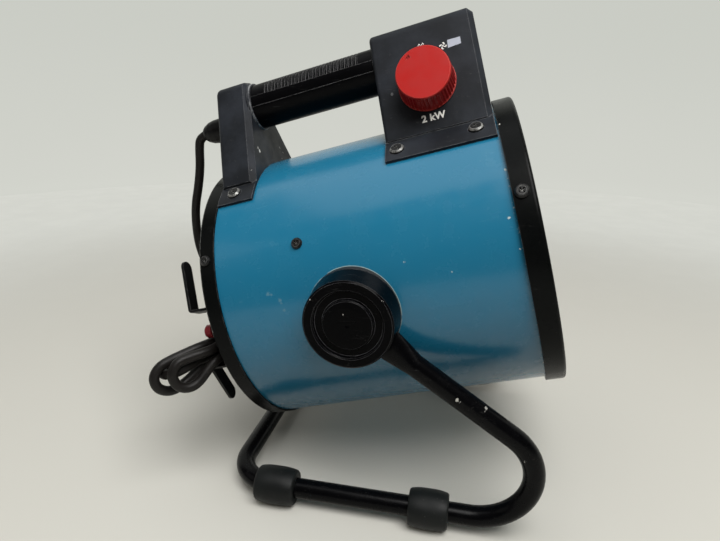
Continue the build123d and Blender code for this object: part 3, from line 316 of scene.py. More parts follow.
def m_black(name, colour=(16, 17, 18), worn=(92, 94, 96), rough=(0.26, 0.36), grain=(700.0, 0.10, 0.0001),
            edge_wear_and_highlight=0.6, wear_r=0.0008, spec=0.5, dust=0.05, spots=(), coat=0.0, lines=0.35, metal_spots=True, threshold=0.46,
            mottle=0.0, collar=False):
    """Black enamel or plastic: a little dust, hair lines, and greyed edges from wear; on the hub caps the greyed edges
    are also a painted highlight.
    """
    s = Shader(name)
    n = s.noise(45.0, 4.0, 0.6)
    base = s.mix(n, lin(*colour), lin(*[min(255, int(c * 1.35) + 2) for c in colour]))
    if mottle:
        cloud = s.span(s.noise(30.0, 4.0, 0.6, seed=3.0), 0.42, 0.66)
        base = s.mix(s.mul(cloud, mottle), base, lin(*[min(255, int(c * 1.9) + 6) for c in colour]))
    fleck = s.span(s.noise(640.0, 2.0, 0.6), 0.71, 0.76)
    base = s.mix(s.mul(fleck, dust), base, lin(170, 168, 160))
    h = s.most(
        s.scratches(s.obj, 30.0, 24.0, (0.5, 0.4, 0.9), 0.60, 0.010, 2.1),
        s.scratches(s.obj, 26.0, 28.0, (1.3, 0.7, 0.2), 0.63, 0.010, 5.2))
    base = s.mix(s.mul(h, lines * 0.5), base, lin(105, 105, 104))
    # greyed edges: wear, and on the hub caps also a painted highlight along the rings
    e = s.mul(s.edge(wear_r), s.span(s.noise(150.0, 4.0, 0.65), threshold - 0.08, threshold + 0.14))
    e = s.mul(e, edge_wear_and_highlight)
    base = s.mix(e, base, lin(*worn))
    if collar:
        # painted highlight: a thin light arc along the rim of the collar that the grip sits in
        a, b, c = s.split(s.drum())
        rho = s.math("SQRT", s.add(s.mul(b, b), s.math("POWER", s.math("SUBTRACT", c, 0.1523), 2.0)))
        collar_highlight = s.mul(s.span(rho, 0.0179, 0.0182), s.span(rho, 0.0186, 0.0189, 1.0, 0.0))
        collar_highlight = s.mul(collar_highlight, s.mul(s.span(a, -0.0764, -0.0758), s.span(a, -0.0738, -0.0732, 1.0, 0.0)))
        collar_highlight = s.mul(collar_highlight, s.span(s.noise(120.0, 3.0), 0.32, 0.52))
        base = s.mix(s.mul(collar_highlight, 0.75), base, lin(150, 152, 154))
    r = s.span(s.noise(85.0, 4.0, 0.6), 0.3, 0.7, rough[0], rough[1])
    r = s.add(r, s.mul(s.most(e, h), 0.12))
    height = s.noise(grain[0], 3.0, 0.6)
    metal = None
    if spots:
        chips = s.most(*[s.spot(c, rad, 0.0006) for c, rad in spots])
        base = s.mix(chips, base, lin(205, 204, 198))
        height = s.math("SUBTRACT", height, s.mul(chips, 2.5))
        metal = s.mul(chips, 0.6) if metal_spots else None
    s.set(Base_Color=base, Roughness=r, Normal=s.bump(height, grain[1], grain[2], s.round(0.0005, 4)))
    if metal is not None:
        s.set(Metallic=metal)
    s.bsdf.inputs["Specular IOR Level"].default_value = spec
    s.bsdf.inputs["Coat Weight"].default_value = coat
    s.bsdf.inputs["Coat Roughness"].default_value = 0.12
    return s.mat


def m_rubber(name, colour=(20, 21, 21), rough=(0.50, 0.66), scale=900.0, strength=0.25):
    s = Shader(name)
    n = s.noise(70.0, 5.0, 0.65)
    base = s.mix(n, lin(*colour), lin(*[int(c * 1.7) + 3 for c in colour]))
    dust = s.span(s.noise(420.0, 3.0, 0.7), 0.66, 0.74)
    base = s.mix(s.mul(dust, 0.16), base, lin(140, 138, 132))
    # lighter edges: rubbed wear and a painted highlight along the rims
    e = s.mul(s.edge(0.0009), s.span(s.noise(130.0, 3.0), 0.4, 0.6))
    base = s.mix(s.mul(e, 0.3), base, lin(95, 96, 96))
    r = s.span(n, 0.3, 0.7, *rough)
    bumps = s.add(s.noise(scale, 2.0), s.mul(s.noise(180.0, 3.0), 0.8))
    s.set(Base_Color=base, Roughness=r, Normal=s.bump(bumps, strength, 0.00018, s.round(0.0006, 4)))
    s.bsdf.inputs["Specular IOR Level"].default_value = 0.28
    return s.mat


def m_red(name, colour=(186, 26, 22), dark=(158, 22, 26), side=None, pointer=None):
    s = Shader(name)
    n = s.noise(120.0, 4.0, 0.6)
    base = s.mix(n, lin(*colour), lin(*[int(c * 0.93) for c in colour]))
    # light rim on the cover: edge wear and a painted highlight
    e = s.mul(s.edge(0.0006), s.span(s.noise(260.0, 3.0), 0.28, 0.5))
    if side is not None:
        # painted shade: the ribbed flank is drawn darker than the cover
        centre, normal, lo, hi = side
        d = s.vec("DOT_PRODUCT", s.vec("SUBTRACT", s.obj, tuple(centre)), tuple(normal))
        base = s.mix(s.span(d, lo, hi, 1.0, 0.0), base, lin(*dark))
    # painted highlight and wear: the rim mask mixes in a light salmon
    base = s.mix(s.mul(e, 0.6), base, lin(236, 128, 112))
    # painted shade in the pointer's dent
    if pointer is not None:
        base = s.mix(s.mul(s.spot(pointer, 0.0019, 0.0002, 0.5), 0.75), base, lin(132, 12, 14))
    grime = s.span(s.noise(300.0, 4.0, 0.7), 0.62, 0.74)
    base = s.mix(s.mul(grime, 0.14), base, lin(120, 30, 28))
    r = s.span(n, 0.3, 0.7, 0.34, 0.46)
    s.set(Base_Color=base, Roughness=r, Normal=s.bump(s.noise(1500.0, 2.0), 0.10, 0.0001, s.round(0.0003, 4)))
    s.bsdf.inputs["Specular IOR Level"].default_value = 0.3
    return s.mat


def m_metal(name, colour=(150, 152, 154), tone=(112, 114, 116), rough=(0.28, 0.45), brushed=None, spangle=False, dark=0.0):
    s = Shader(name)
    if spangle:
        f = s.cells(150.0, colour=True, at=s.vec("ADD", s.obj, s.vec("SCALE", s.noise(60.0, 2.0, colour=True), scale=0.004)))
        x, _, _ = s.split(f)
        base = s.mix(x, lin(*tone), lin(*colour))
        r = s.span(x, 0.0, 1.0, rough[1], rough[0])
    else:
        x = s.noise(110.0, 4.0, 0.6)
        base = s.mix(x, lin(*tone), lin(*colour))
        r = s.span(x, 0.3, 0.7, *rough)
    if dark:
        base = s.mix(s.mul(s.span(s.noise(70.0, 4.0, 0.65), 0.45, 0.75), dark), base, lin(40, 38, 36))
    e = s.mul(s.edge(0.0004), s.span(s.noise(300.0, 3.0), 0.3, 0.55))
    base = s.mix(s.mul(e, 0.5), base, lin(215, 216, 214))
    at = s.obj if brushed is None else s.place(s.obj, scale=brushed)
    height = s.noise(260.0 if brushed is None else 1.0, 3.0, at=at)
    s.set(Base_Color=base, Roughness=r, Metallic=1.0, Normal=s.bump(height, 0.18, 0.0001, s.round(0.0003, 4)))
    return s.mat


def m_screw(name, dark=(26, 26, 27), worn=0.95, lo=0.04, axes=(), band=(0.0036, 0.0048), shine=1.0):
    """Blackened screw, rubbed bright on its rim and in the cross; axes are head centres and their outward normals."""
    s = Shader(name)
    n = s.noise(520.0, 3.0, 0.65)
    e = s.mul(s.edge(0.0005, lo, lo + 0.14, 6), s.span(n, 0.30, 0.50))
    e = s.mul(e, worn)
    if axes:
        r = None
        for centre, normal in axes:
            v = s.vec("SUBTRACT", s.obj, tuple(centre))
            d = s.vec("LENGTH", s.vec("CROSS_PRODUCT", v, tuple(normal)))
            r = d if r is None else s.math("MINIMUM", r, d)
        rim = s.mul(s.span(r, band[0], band[0] + 0.0004), s.span(r, band[1], band[1] + 0.0003, 1.0, 0.0))
        pit = s.span(r, 0.0006, 0.0012, 1.0, 0.0)
        rim = s.mul(rim, s.span(s.noise(620.0, 3.0, 0.7), 0.38, 0.54, 0.12, 1.0))
        e = s.most(s.mul(e, 0.35), s.mul(rim, shine), s.mul(pit, 0.6))
    base = s.mix(e, lin(*dark), lin(184, 184, 181))
    s.set(Base_Color=base, Roughness=s.span(n, 0.3, 0.7, 0.34, 0.48), Metallic=s.span(e, 0.0, 1.0, 0.35, 0.85),
          Normal=s.bump(n, 0.15, 0.0001, s.round(0.0003, 4)))
    return s.mat


def m_element():
    s = Shader("sheathed_element")
    n = s.noise(55.0, 4.0, 0.6)
    base = s.mix(n, lin(74, 66, 60), lin(112, 104, 98))
    base = s.mix(s.mul(s.span(s.noise(28.0, 2.0), 0.5, 0.7), 0.5), base, lin(70, 62, 84))
    base = s.mix(s.mul(s.span(s.noise(700.0, 2.0), 0.6, 0.72), 0.4), base, lin(150, 146, 138))
    s.set(Base_Color=base, Roughness=s.span(n, 0.3, 0.7, 0.40, 0.58), Metallic=0.9,
          Normal=s.bump(s.noise(900.0, 3.0), 0.25, 0.0001))
    return s.mat


def m_ceramic():
    s = Shader("white_ceramic")
    n = s.noise(220.0, 4.0, 0.6)
    base = s.mix(n, lin(214, 208, 194), lin(232, 228, 218))
    base = s.mix(s.mul(s.span(s.noise(60.0, 4.0), 0.58, 0.7), 0.3), base, lin(150, 132, 108))
    s.set(Base_Color=base, Roughness=s.span(n, 0.3, 0.7, 0.42, 0.6), Normal=s.bump(n, 0.2, 0.0002))
    return s.mat


def m_fibre():
    s = Shader("fibre_washer")
    n = s.noise(600.0, 4.0, 0.7)
    s.set(Base_Color=s.mix(n, lin(88, 52, 36), lin(120, 78, 54)), Roughness=0.75, Normal=s.bump(n, 0.3, 0.0001))
    return s.mat


def m_print(name="pad_print", colour=(232, 232, 228), loss=0.60):
    """Pad-printed ink, thin and a little rubbed."""
    s = Shader(name)
    n = s.noise(900.0, 4.0, 0.7)
    gone = s.span(n, loss, loss + 0.12)
    base = s.mix(s.mul(gone, 0.6), lin(*colour), lin(90, 91, 92))
    base = s.mix(s.mul(s.noise(200.0, 2.0), 0.2), base, lin(*[int(c * 0.85) for c in colour]))
    s.set(Base_Color=base, Roughness=s.span(n, 0.3, 0.7, 0.45, 0.6), Normal=s.bump(n, 0.1, 0.00005))
    return s.mat


def m_fabric():
    s = Shader("strap_weave")
    a, b, c = s.split(s.drum())
    wave = s.math("SINE", s.mul(b, 2 * math.pi / 0.0011))
    cross = s.math("SINE", s.mul(s.add(a, c), 2 * math.pi / 0.0013))
    weave = s.mul(wave, cross)
    fuzz = s.noise(1600.0, 4.0, 0.7)
    base = s.mix(fuzz, lin(17, 17, 18), lin(50, 50, 52))
    base = s.mix(s.span(weave, 0.0, 1.0, 0.0, 0.35), base, lin(62, 62, 64))
    s.set(Base_Color=base, Roughness=0.92, Normal=s.bump(s.add(weave, s.mul(fuzz, 1.4)), 0.45, 0.0003))
    s.bsdf.inputs["Sheen Weight"].default_value = 0.25
    return s.mat


def m_motor():
    s = Shader("motor_case")
    a, b, c = s.split(s.drum())
    n = s.noise(140.0, 4.0, 0.6)
    base = s.mix(n, lin(96, 98, 99), lin(128, 129, 128))
    laminate = s.math("SINE", s.mul(a, 2 * math.pi / 0.0012))
    zone = s.mul(s.span(a, -0.080, -0.079), s.span(a, -0.060, -0.059, 1.0, 0.0))
    base = s.mix(s.mul(zone, 0.7), base, lin(58, 50, 44))
    e = s.mul(s.edge(0.0005), 0.5)
    base = s.mix(e, base, lin(190, 190, 186))
    s.set(Base_Color=base, Roughness=s.span(n, 0.3, 0.7, 0.32, 0.5), Metallic=0.85,
          Normal=s.bump(s.add(s.mul(s.mul(laminate, zone), 0.6), s.mul(n, 0.3)), 0.35, 0.0003, s.round(0.0004, 4)))
    return s.mat


KNOB_N = Vector((-0.109442, -0.915663, 0.386761)).normalized()


def face_point(x, side, rise, t=0.0):
    """A point on the sloping face of the box: side -1 near, 1 far; x along, up the slope, t above it."""
    a = math.radians(23.7)
    n = (0, side * math.cos(a), math.sin(a))
    v = (0, -side * math.sin(a), math.cos(a))
    return D(x, side * 43.6 + v[1] * rise + n[1] * t, 101.0 + v[2] * rise + n[2] * t)


def face_axes(side):
    a = math.radians(23.7)
    return (DV(1, 0, 0), DV(0, -side * math.sin(a), math.cos(a)), DV(0, side * math.cos(a), math.sin(a)))


knob_c = {s: face_point(62.3, s, 34.6) for s in (-1, 1)}
near_n = face_axes(-1)[2]
far_n = face_axes(1)[2]



def pointer_shade_spot(side):
    """Where the shade in the pointer's dent is painted on the cover of a knob."""
    u, v, n = face_axes(side)
    a = math.radians(122)
    return knob_c[side] - u * (side * 0.0152 * math.cos(a)) + v * (0.0152 * math.sin(a)) + n * 0.0185


TUBE_CHIPS = [
    (Vector((0.07235, -0.11833, 0.11558)), 0.0012), (Vector((0.07420, -0.11790, 0.11400)), 0.0008),
    (Vector((0.09136, -0.11314, 0.10918)), 0.0014), (Vector((0.09000, -0.11450, 0.10700)), 0.0014),
    (Vector((0.12025, -0.11336, 0.07415)), 0.0022), (Vector((0.1905, -0.1085, 0.0300)), 0.0010),
]
POST_CHIPS = [(D(-76.3, -24.5, 118.5), 0.0016), (D(-76.3, -25.6, 121.0), 0.0010), (D(-76.3, 20.8, 117.5), 0.0008),
              (D(-76.3, 25.0, 112.5), 0.0006), (D(-76.3, 18.6, 108.0), 0.0007), (D(-79.0, -44.5, 106.0), 0.0006)]
DRUM_CHIPS = [(D(102.0, -82.0, 68.2), 0.0009), (D(98.6, -98.4, 41.0), 0.0010), (D(29.8, -103.0, 27.6), 0.0006),
              (D(58.5, -105.4, 15.9), 0.0005), (D(101.4, -104.2, 22.0), 0.0006)]
DRUM_RUBS = [(D(-60.0, -104.8, 18.6), 0.0016), (D(-59.8, -105.1, 16.2), 0.0011), (D(-59.0, -105.9, 11.0), 0.0014),
             (D(-67.8, -103.8, 24.1), 0.0018), (D(-65.6, -104.2, 23.4), 0.0013)]
RING_CHIPS = [(D(104.2, -55.5, 94.5), 0.0008), (D(109.0, -96.0, 52.6), 0.0006)]
HUB_FLECKS = [(Vector((-0.00189, -0.1272, 0.17129)), 0.0006), (Vector((-0.02336, -0.1272, 0.17938)), 0.0007),
              (Vector((0.02262, -0.1272, 0.18299)), 0.0006)]


def head(x, deg, r):
    """Centre and outward normal of a screw head that stands radially on the drum."""
    a = math.radians(deg)
    return D(x, -math.cos(a) * r, math.sin(a) * r), DV(0, -math.cos(a), math.sin(a)).normalized()


BOX_HEADS = [head(x, d, 109.5) for x, d in
             ((34.4, 60.5), (89.3, 61.5), (34.4, 119.5), (89.3, 118.5), (-92.4, 58.7), (-92.4, 121.3))]
SIDE_HEADS = [head(-41.1, d, 107.5) for d in (29.4, 150.6, 270)]
RING_HEADS = [head(109.0, d, 110.5) for d in (30, 150, 270)] + [head(-111.9, d, 109.0) for d in (30, 150, 270)]

MATS = {
    "black_tube": m_black("stand_enamel", (5, 5, 6), rough=(0.22, 0.30), grain=(420.0, 0.08, 0.0002), edge_wear_and_highlight=0.3,
                          spots=TUBE_CHIPS, spec=0.1, dust=0.04),
    "sleeve_rubber": m_rubber("foot_rubber", (8, 10, 10), (0.46, 0.62)),
    # hub caps: the light lines along the ring edges are partly wear and partly a painted highlight
    "hub_plastic": m_black("hub_moulding", (2, 2, 3), rough=(0.20, 0.28), grain=(900.0, 0.05, 0.0001), edge_wear_and_highlight=0.75, spec=0.05,
                           wear_r=0.0006, lines=0.45, dust=0.05, worn=(138, 138, 142), threshold=0.33, spots=HUB_FLECKS,
                           metal_spots=False),
    "fibre": m_fibre(),
    "blue_paint": m_blue(),
    "black_ring": m_black("ring_enamel", (8, 9, 9), rough=(0.26, 0.34), grain=(500.0, 0.07, 0.0001), edge_wear_and_highlight=0.6, spec=0.08,
                          worn=(100, 102, 104), dust=0.05, spots=RING_CHIPS, metal_spots=False),
    "dark_screw": m_screw("dark_screw", (20, 20, 21), 0.55, 0.06, SIDE_HEADS + RING_HEADS, (0.0024, 0.0026), 0.5),
    "worn_screw": m_screw("worn_screw", (22, 22, 23), 1.0, 0.02, BOX_HEADS),
    "zinc_screw": m_metal("zinc_plate", (178, 178, 172), (140, 140, 136)),
    "black_wire": m_black("grille_enamel", (11, 11, 12), rough=(0.30, 0.42), grain=(800.0, 0.12, 0.0001), edge_wear_and_highlight=0.3, spec=0.25, dust=0.12),
    "black_guard": m_black("guard_enamel", (12, 12, 13), rough=(0.34, 0.46), grain=(800.0, 0.15, 0.0001), edge_wear_and_highlight=0.5, spec=0.22,
                           worn=(112, 112, 110), dust=0.14),
    "galvanised": m_metal("galvanised_sheet", (176, 178, 180), (132, 135, 138), (0.30, 0.48), spangle=True),
    "motor_steel": m_motor(),
    "element_steel": m_element(),
    "white_ceramic": m_ceramic(),
    "black_phenolic": m_black("phenolic", (28, 25, 23), rough=(0.45, 0.58), grain=(1000.0, 0.15, 0.0001), edge_wear_and_highlight=0.3),
    # box moulding: collar=True paints a highlight arc on the rim of the grip's collar
    "box_plastic": m_black("box_moulding", (24, 26, 30), rough=(0.40, 0.52), grain=(1700.0, 0.22, 0.00012), edge_wear_and_highlight=0.9, spec=0.16,
                           wear_r=0.0009, worn=(124, 125, 128), dust=0.08, spots=POST_CHIPS, lines=0.6,
                           metal_spots=False, threshold=0.40, mottle=0.45, collar=True),
    "grip_plastic": m_black("grip_moulding", (5, 5, 6), rough=(0.30, 0.40), grain=(1300.0, 0.12, 0.0001), edge_wear_and_highlight=0.8, spec=0.07,
                            wear_r=0.0004, worn=(150, 150, 152), dust=0.04, threshold=0.36),
    "switch_body": m_black("switch_moulding", (40, 40, 42), rough=(0.4, 0.5), edge_wear_and_highlight=0.3),
    "gland_plastic": m_black("gland_moulding", (10, 10, 11), rough=(0.34, 0.46), grain=(1200.0, 0.10, 0.0001), edge_wear_and_highlight=0.3, spec=0.2),
    "cord_rubber": m_rubber("cord_sheath", (15, 13, 12), (0.40, 0.54), 700.0, 0.12),
    "tie_fabric": m_fabric(),
    "plug_rubber": m_rubber("plug_moulding", (14, 14, 15), (0.44, 0.58), 1100.0, 0.18),
    "fan_metal": m_metal("fan_sheet", (168, 170, 172), (128, 130, 133), (0.30, 0.46), brushed=(900, 60, 900)),
    # knobs: side= paints shade on the ribbed flank, pointer= paints shade in the pointer's dent
    "red_knob": m_red("knob_moulding", side=(knob_c[-1], near_n, 0.0163, 0.0176), pointer=pointer_shade_spot(-1)),
    "red_button": m_red("button_moulding", (140, 36, 46), (110, 20, 28)),
}
far_knob = m_red("knob_moulding_far", side=(knob_c[1], far_n, 0.0163, 0.0176), pointer=pointer_shade_spot(1))
slot_of = {}
for row in frame["record"].get("materials", []):
    for node in row.get("nodes", []):
        slot_of[node] = row["slot"]
for name, obj in NODES.items():
    old = obj.data.materials[0].name.split(".")[0] if obj.data.materials else slot_of.get(name)
    new = far_knob if name == "thermostat_knob" else MATS.get(old)
    if new is None:
        raise RuntimeError("no finish for " + name + " " + str(old))
    for i in range(max(1, len(obj.material_slots))):
        if obj.material_slots:
            obj.material_slots[i].link = "OBJECT"
            obj.material_slots[i].material = new

# the cord takes its place on the drum
curve.materials.append(MATS["cord_rubber"])
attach(mains_lead, "drum")
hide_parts("mains_cord", "cord_hank", "plug_lead")


# ---------------------------------------------------------------- mesh helpers
def mesh_object(name, verts, faces, mat, smooth=True):
    me = bpy.data.meshes.new(name)
    me.from_pydata([tuple(v) for v in verts], [], faces)
    me.validate()
    bm = bmesh.new()
    bm.from_mesh(me)
    bmesh.ops.remove_doubles(bm, verts=bm.verts, dist=1e-7)
    bmesh.ops.recalc_face_normals(bm, faces=bm.faces)
    bm.to_mesh(me)
    bm.free()
    for p in me.polygons:
        p.use_smooth = smooth
    me.materials.append(mat)
    ob = bpy.data.objects.new(name, me)
    scene.collection.objects.link(ob)
    return ob


def raised(name, outlines, mat, origin, axes, height=0.00006, body="drum"):
    """Flat marks: closed outlines (mm, in the plane of axes[0], axes[1]), raised by height."""
    u, v, n = axes
    verts, faces = [], []
    for o in outlines:
        k, start = len(o), len(verts)
        for t in (0.0, height):
            for x, y in o:
                verts.append(origin + u * (x * 0.001) + v * (y * 0.001) + n * t)
        faces.append([start + k + i for i in range(k)])
        faces.append([start + k - 1 - i for i in range(k)])
        for i in range(k):
            j = (i + 1) % k
            faces.append([start + i, start + j, start + k + j, start + k + i])
    ob = mesh_object(name, verts, faces, mat, smooth=False)
    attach(ob, body)
    return ob


def lettering(name, text, size, mat, origin, axes, bold=0.02, height=0.00006, spacing=1.0):
    """Plain generic lettering as a thin mesh on a face."""
    cu = bpy.data.curves.new(name + "_outline", "FONT")
    cu.body = text
    cu.size = size
    cu.align_x = "CENTER"
    cu.align_y = "CENTER"
    cu.offset = bold * size
    cu.space_character = spacing
    cu.extrude = height / 2
    cu.resolution_u = 4
    tmp = bpy.data.objects.new(name + "_tmp", cu)
    scene.collection.objects.link(tmp)
    bpy.context.view_layer.update()
    me = bpy.data.meshes.new_from_object(tmp.evaluated_get(bpy.context.evaluated_depsgraph_get()))
    bpy.data.objects.remove(tmp)
    bpy.data.curves.remove(cu)
    me.name = name
    u, v, n = axes
    m = Matrix(((u.x, v.x, n.x, origin.x), (u.y, v.y, n.y, origin.y), (u.z, v.z, n.z, origin.z), (0, 0, 0, 1)))
    me.transform(m)
    bm = bmesh.new()
    bm.from_mesh(me)
    bmesh.ops.remove_doubles(bm, verts=bm.verts, dist=1e-6)
    bmesh.ops.recalc_face_normals(bm, faces=bm.faces)
    bm.to_mesh(me)
    bm.free()
    me.materials.clear()
    me.materials.append(mat)
    ob = bpy.data.objects.new(name, me)
    scene.collection.objects.link(ob)
    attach(ob, "drum")
    return ob


# ---------------------------------------------------------------- dial marks on the box
ink = m_print()
ink_grey = m_print("pad_print_grey", (176, 182, 196), 0.64)
near = face_axes(-1)
far = face_axes(1)
KN = knob_c[-1]


def on_near(x, y, t=0.00004):
    return KN + near[0] * (x * 0.001) + near[1] * (y * 0.001) + near[2] * t


lettering("mark_2kw", "2 kW", 0.0070, ink, on_near(0.1, -25.2), near, bold=0.035, spacing=1.05)


def blade_set(cx, cy, r, count, turn):
    out = []
    for k in range(count):
        base = turn + 2 * math.pi * k / count
        pts = []
        for t in range(7):
            f = t / 6
            ang = base + 0.95 * f
            rad = r * (0.22 + 0.78 * f ** 0.7)
            pts.append((cx + rad * math.cos(ang), cy + rad * math.sin(ang)))
        for t in range(6, -1, -1):
            f = t / 6
            ang = base + 0.35 + 1.0 * f ** 0.8 * 1.05
            rad = r * (0.20 + 0.66 * f)
            pts.append((cx + rad * math.cos(ang), cy + rad * math.sin(ang)))
        out.append(pts)
    hub = [(cx + r * 0.17 * math.cos(2 * math.pi * i / 12), cy + r * 0.17 * math.sin(2 * math.pi * i / 12)) for i in range(12)]
    return out + [hub]


raised("mark_fan", blade_set(15.4, 24.2, 2.75, 4, 0.3), ink, on_near(0, 0), near)
raised("mark_panel", [[(18.9, 27.5), (18.5, 21.6), (27.9, 22.2), (28.0, 27.3)]], ink_grey, on_near(0, 0), near)
raised("mark_upper", [[(-2.2, 28.2), (2.6, 28.2), (2.6, 29.0), (-2.2, 29.0)],
                      [(-2.0, 29.6), (-0.9, 31.0), (0.2, 29.6), (-0.2, 29.3), (-0.9, 30.2), (-1.6, 29.3)],
                      [(0.6, 29.6), (1.7, 31.0), (2.8, 29.6), (2.4, 29.3), (1.7, 30.2), (1.0, 29.3)]],
       ink, on_near(0, 0), near)
raised("mark_off", [[(-25.9 + 0.95 * math.cos(t), -0.5 + 1.25 * math.sin(t)) for t in [2 * math.pi * i / 16 for i in range(16)]]],
       m_print("pad_print_faint", (92, 94, 97), 0.5), on_near(0, 0), near)
# far side: a plain rising scale round the thermostat knob
KF = knob_c[1]
scale_pts = []
for i in range(29):
    t = math.radians(220 - 260 * i / 28)
    scale_pts.append((23.0 * math.cos(t), 23.0 * math.sin(t)))
for i in range(28, -1, -1):
    t = math.radians(220 - 260 * i / 28)
    w = 23.0 + 0.25 + 1.9 * i / 28
    scale_pts.append((w * math.cos(t), w * math.sin(t)))
quads = []
for i in range(28):
    quads.append([scale_pts[i], scale_pts[i + 1], scale_pts[56 - i], scale_pts[57 - i]])
raised("mark_scale", quads, ink, KF + far[2] * 0.00004, (-far[0], far[1], far[2]))


# ---------------------------------------------------------------- hook-and-loop strap round the hank
def hull2(points):
    points = sorted(set(points))

    def half(seq):
        out = []
        for p in seq:
            while len(out) > 1 and (out[-1][0] - out[-2][0]) * (p[1] - out[-2][1]) - (out[-1][1] - out[-2][1]) * (p[0] - out[-2][0]) <= 0:
                out.pop()
            out.append(p)
        return out[:-1]
    return half(points) + half(reversed(points))


def even(loop, n, phase):
    """The closed outline, walked in n even steps from its point nearest to the phase direction."""
    m = len(loop)
    cx, cz = sum(p[0] for p in loop) / m, sum(p[1] for p in loop) / m
    k = max(range(m), key=lambda i: (loop[i][0] - cx) * math.cos(phase) + (loop[i][1] - cz) * math.sin(phase))
    loop = loop[k:] + loop[:k]
    seg = [math.hypot(loop[(i + 1) % m][0] - loop[i][0], loop[(i + 1) % m][1] - loop[i][1]) for i in range(m)]
    total = sum(seg)
    out = []
    i, acc = 0, 0.0
    for j in range(n):
        s = total * j / n
        while acc + seg[i] < s:
            acc += seg[i]
            i += 1
        f = (s - acc) / seg[i]
        a, b = loop[i], loop[(i + 1) % m]
        out.append((a[0] + (b[0] - a[0]) * f, a[1] + (b[1] - a[1]) * f))
    return out


def plug_radius(y):
    prof = [(14.0, 5.0), (28.0, 7.4), (34.0, 10.0), (44.0, 13.4), (56.0, 15.2), (70.0, 15.6)]
    for (y0, r0), (y1, r1) in zip(prof, prof[1:]):
        if y <= y1:
            return r0 + (r1 - r0) * (y - y0) / (y1 - y0)
    return 15.6


def strap(name, y0, y1, gap, thick, a0=0.0, a1=1.0, n=120):
    cols = 9
    rows = []
    for j in range(cols):
        y = y0 + (y1 - y0) * j / (cols - 1)
        for edge in (0, 1):
            g = gap + (thick if edge else 0.0) - (0.25 if j in (0, cols - 1) and edge else 0.0)
            g += 0.12 if j in (0, cols - 1) and not edge else 0.0
            pts = []
            rp = plug_radius(y) + g
            for i in range(72):
                t = 2 * math.pi * i / 72
                pts.append((round(-134.5 + rp * math.cos(t), 4), round(7.4 + rp * math.sin(t), 4)))
                for sx, sz in ((-137.0, -20.1), (-127.0, -20.1), (-127.2, -12.5), (-137.2, -12.5)):
                    pts.append((round(sx + (3.75 + g) * math.cos(t), 4), round(sz + (3.75 + g) * math.sin(t), 4)))
            rows.append((y, edge, even(hull2(pts), n, math.radians(200))))
    i0, i1 = int(round(n * a0)), int(round(n * a1))
    closed = i1 - i0 >= n
    idx = [i % n for i in range(i0, i1 + (0 if closed else 1))]
    verts, faces = [], []
    k = len(idx)
    for y, edge, loop in rows:
        for i in idx:
            x, z = loop[i]
            verts.append(D(x, y, z))
    R = lambda j, e, i: (j * 2 + e) * k + (i % k)
    last = k if closed else k - 1
    for i in range(last):
        for j in range(cols - 1):
            faces.append([R(j, 1, i), R(j, 1, i + 1), R(j + 1, 1, i + 1), R(j + 1, 1, i)])
            faces.append([R(j, 0, i), R(j + 1, 0, i), R(j + 1, 0, i + 1), R(j, 0, i + 1)])
        for j in (0, cols - 1):
            faces.append([R(j, 0, i), R(j, 0, i + 1), R(j, 1, i + 1), R(j, 1, i)])
    if not closed:
        for i in (0, k - 1):
            for j in range(cols - 1):
                faces.append([R(j, 0, i), R(j, 1, i), R(j + 1, 1, i), R(j + 1, 0, i)])
    ob = mesh_object(name, verts, faces, MATS["tie_fabric"])
    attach(ob, "drum")
    return ob


tie = strap("strap", 34.5, 47.5, 0.15, 0.75)
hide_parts("cord_tie")
tie_end = strap("strap_end", 34.9, 47.1, 0.95, 0.7, 0.0, 0.27)


# ---------------------------------------------------------------- moulded plug
def plug_lathe(name, centre, rows, mat, n=96, shape=None):
    """A closed turned piece along the plug's axis; rows are (y, radius), shape(y, angle, r) alters the radius."""
    verts, faces = [], []
    for y, r in rows:
        for i in range(n):
            t = 2 * math.pi * i / n
            q = shape(y, t, r) if shape else r
            verts.append(D(centre[0] + q * math.cos(t), y, centre[1] + q * math.sin(t)))
    for j in range(len(rows) - 1):
        for i in range(n):
            k = (i + 1) % n
            faces.append([j * n + i, j * n + k, (j + 1) * n + k, (j + 1) * n + i])
    verts.append(D(centre[0], rows[0][0], centre[1]))
    verts.append(D(centre[0], rows[-1][0], centre[1]))
    a, b, base = len(verts) - 2, len(verts) - 1, (len(rows) - 1) * n
    for i in range(n):
        k = (i + 1) % n
        faces.append([a, k, i])
        faces.append([b, base + i, base + k])
    ob = mesh_object(name, verts, faces, mat)
    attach(ob, "drum")
    return ob


def smooth_step(x, a, b):
    x = min(1.0, max(0.0, (x - a) / (b - a)))
    return x * x * (3 - 2 * x)


def plug_shape(y, t, r):
    # finger flutes round the grip, and a flat with a shallow panel on both sides
    f = smooth_step(y, 49.0, 51.0) * (1 - smooth_step(y, 63.0, 65.0))
    side = smooth_step(abs(math.sin(t)), 0.80, 0.92)
    r -= 0.75 * f * (1 - side) * (0.5 - 0.5 * math.cos(28 * t))
    r -= 0.9 * side * smooth_step(y, 44.0, 47.0) * (1 - smooth_step(y, 67.5, 68.5))
    return r


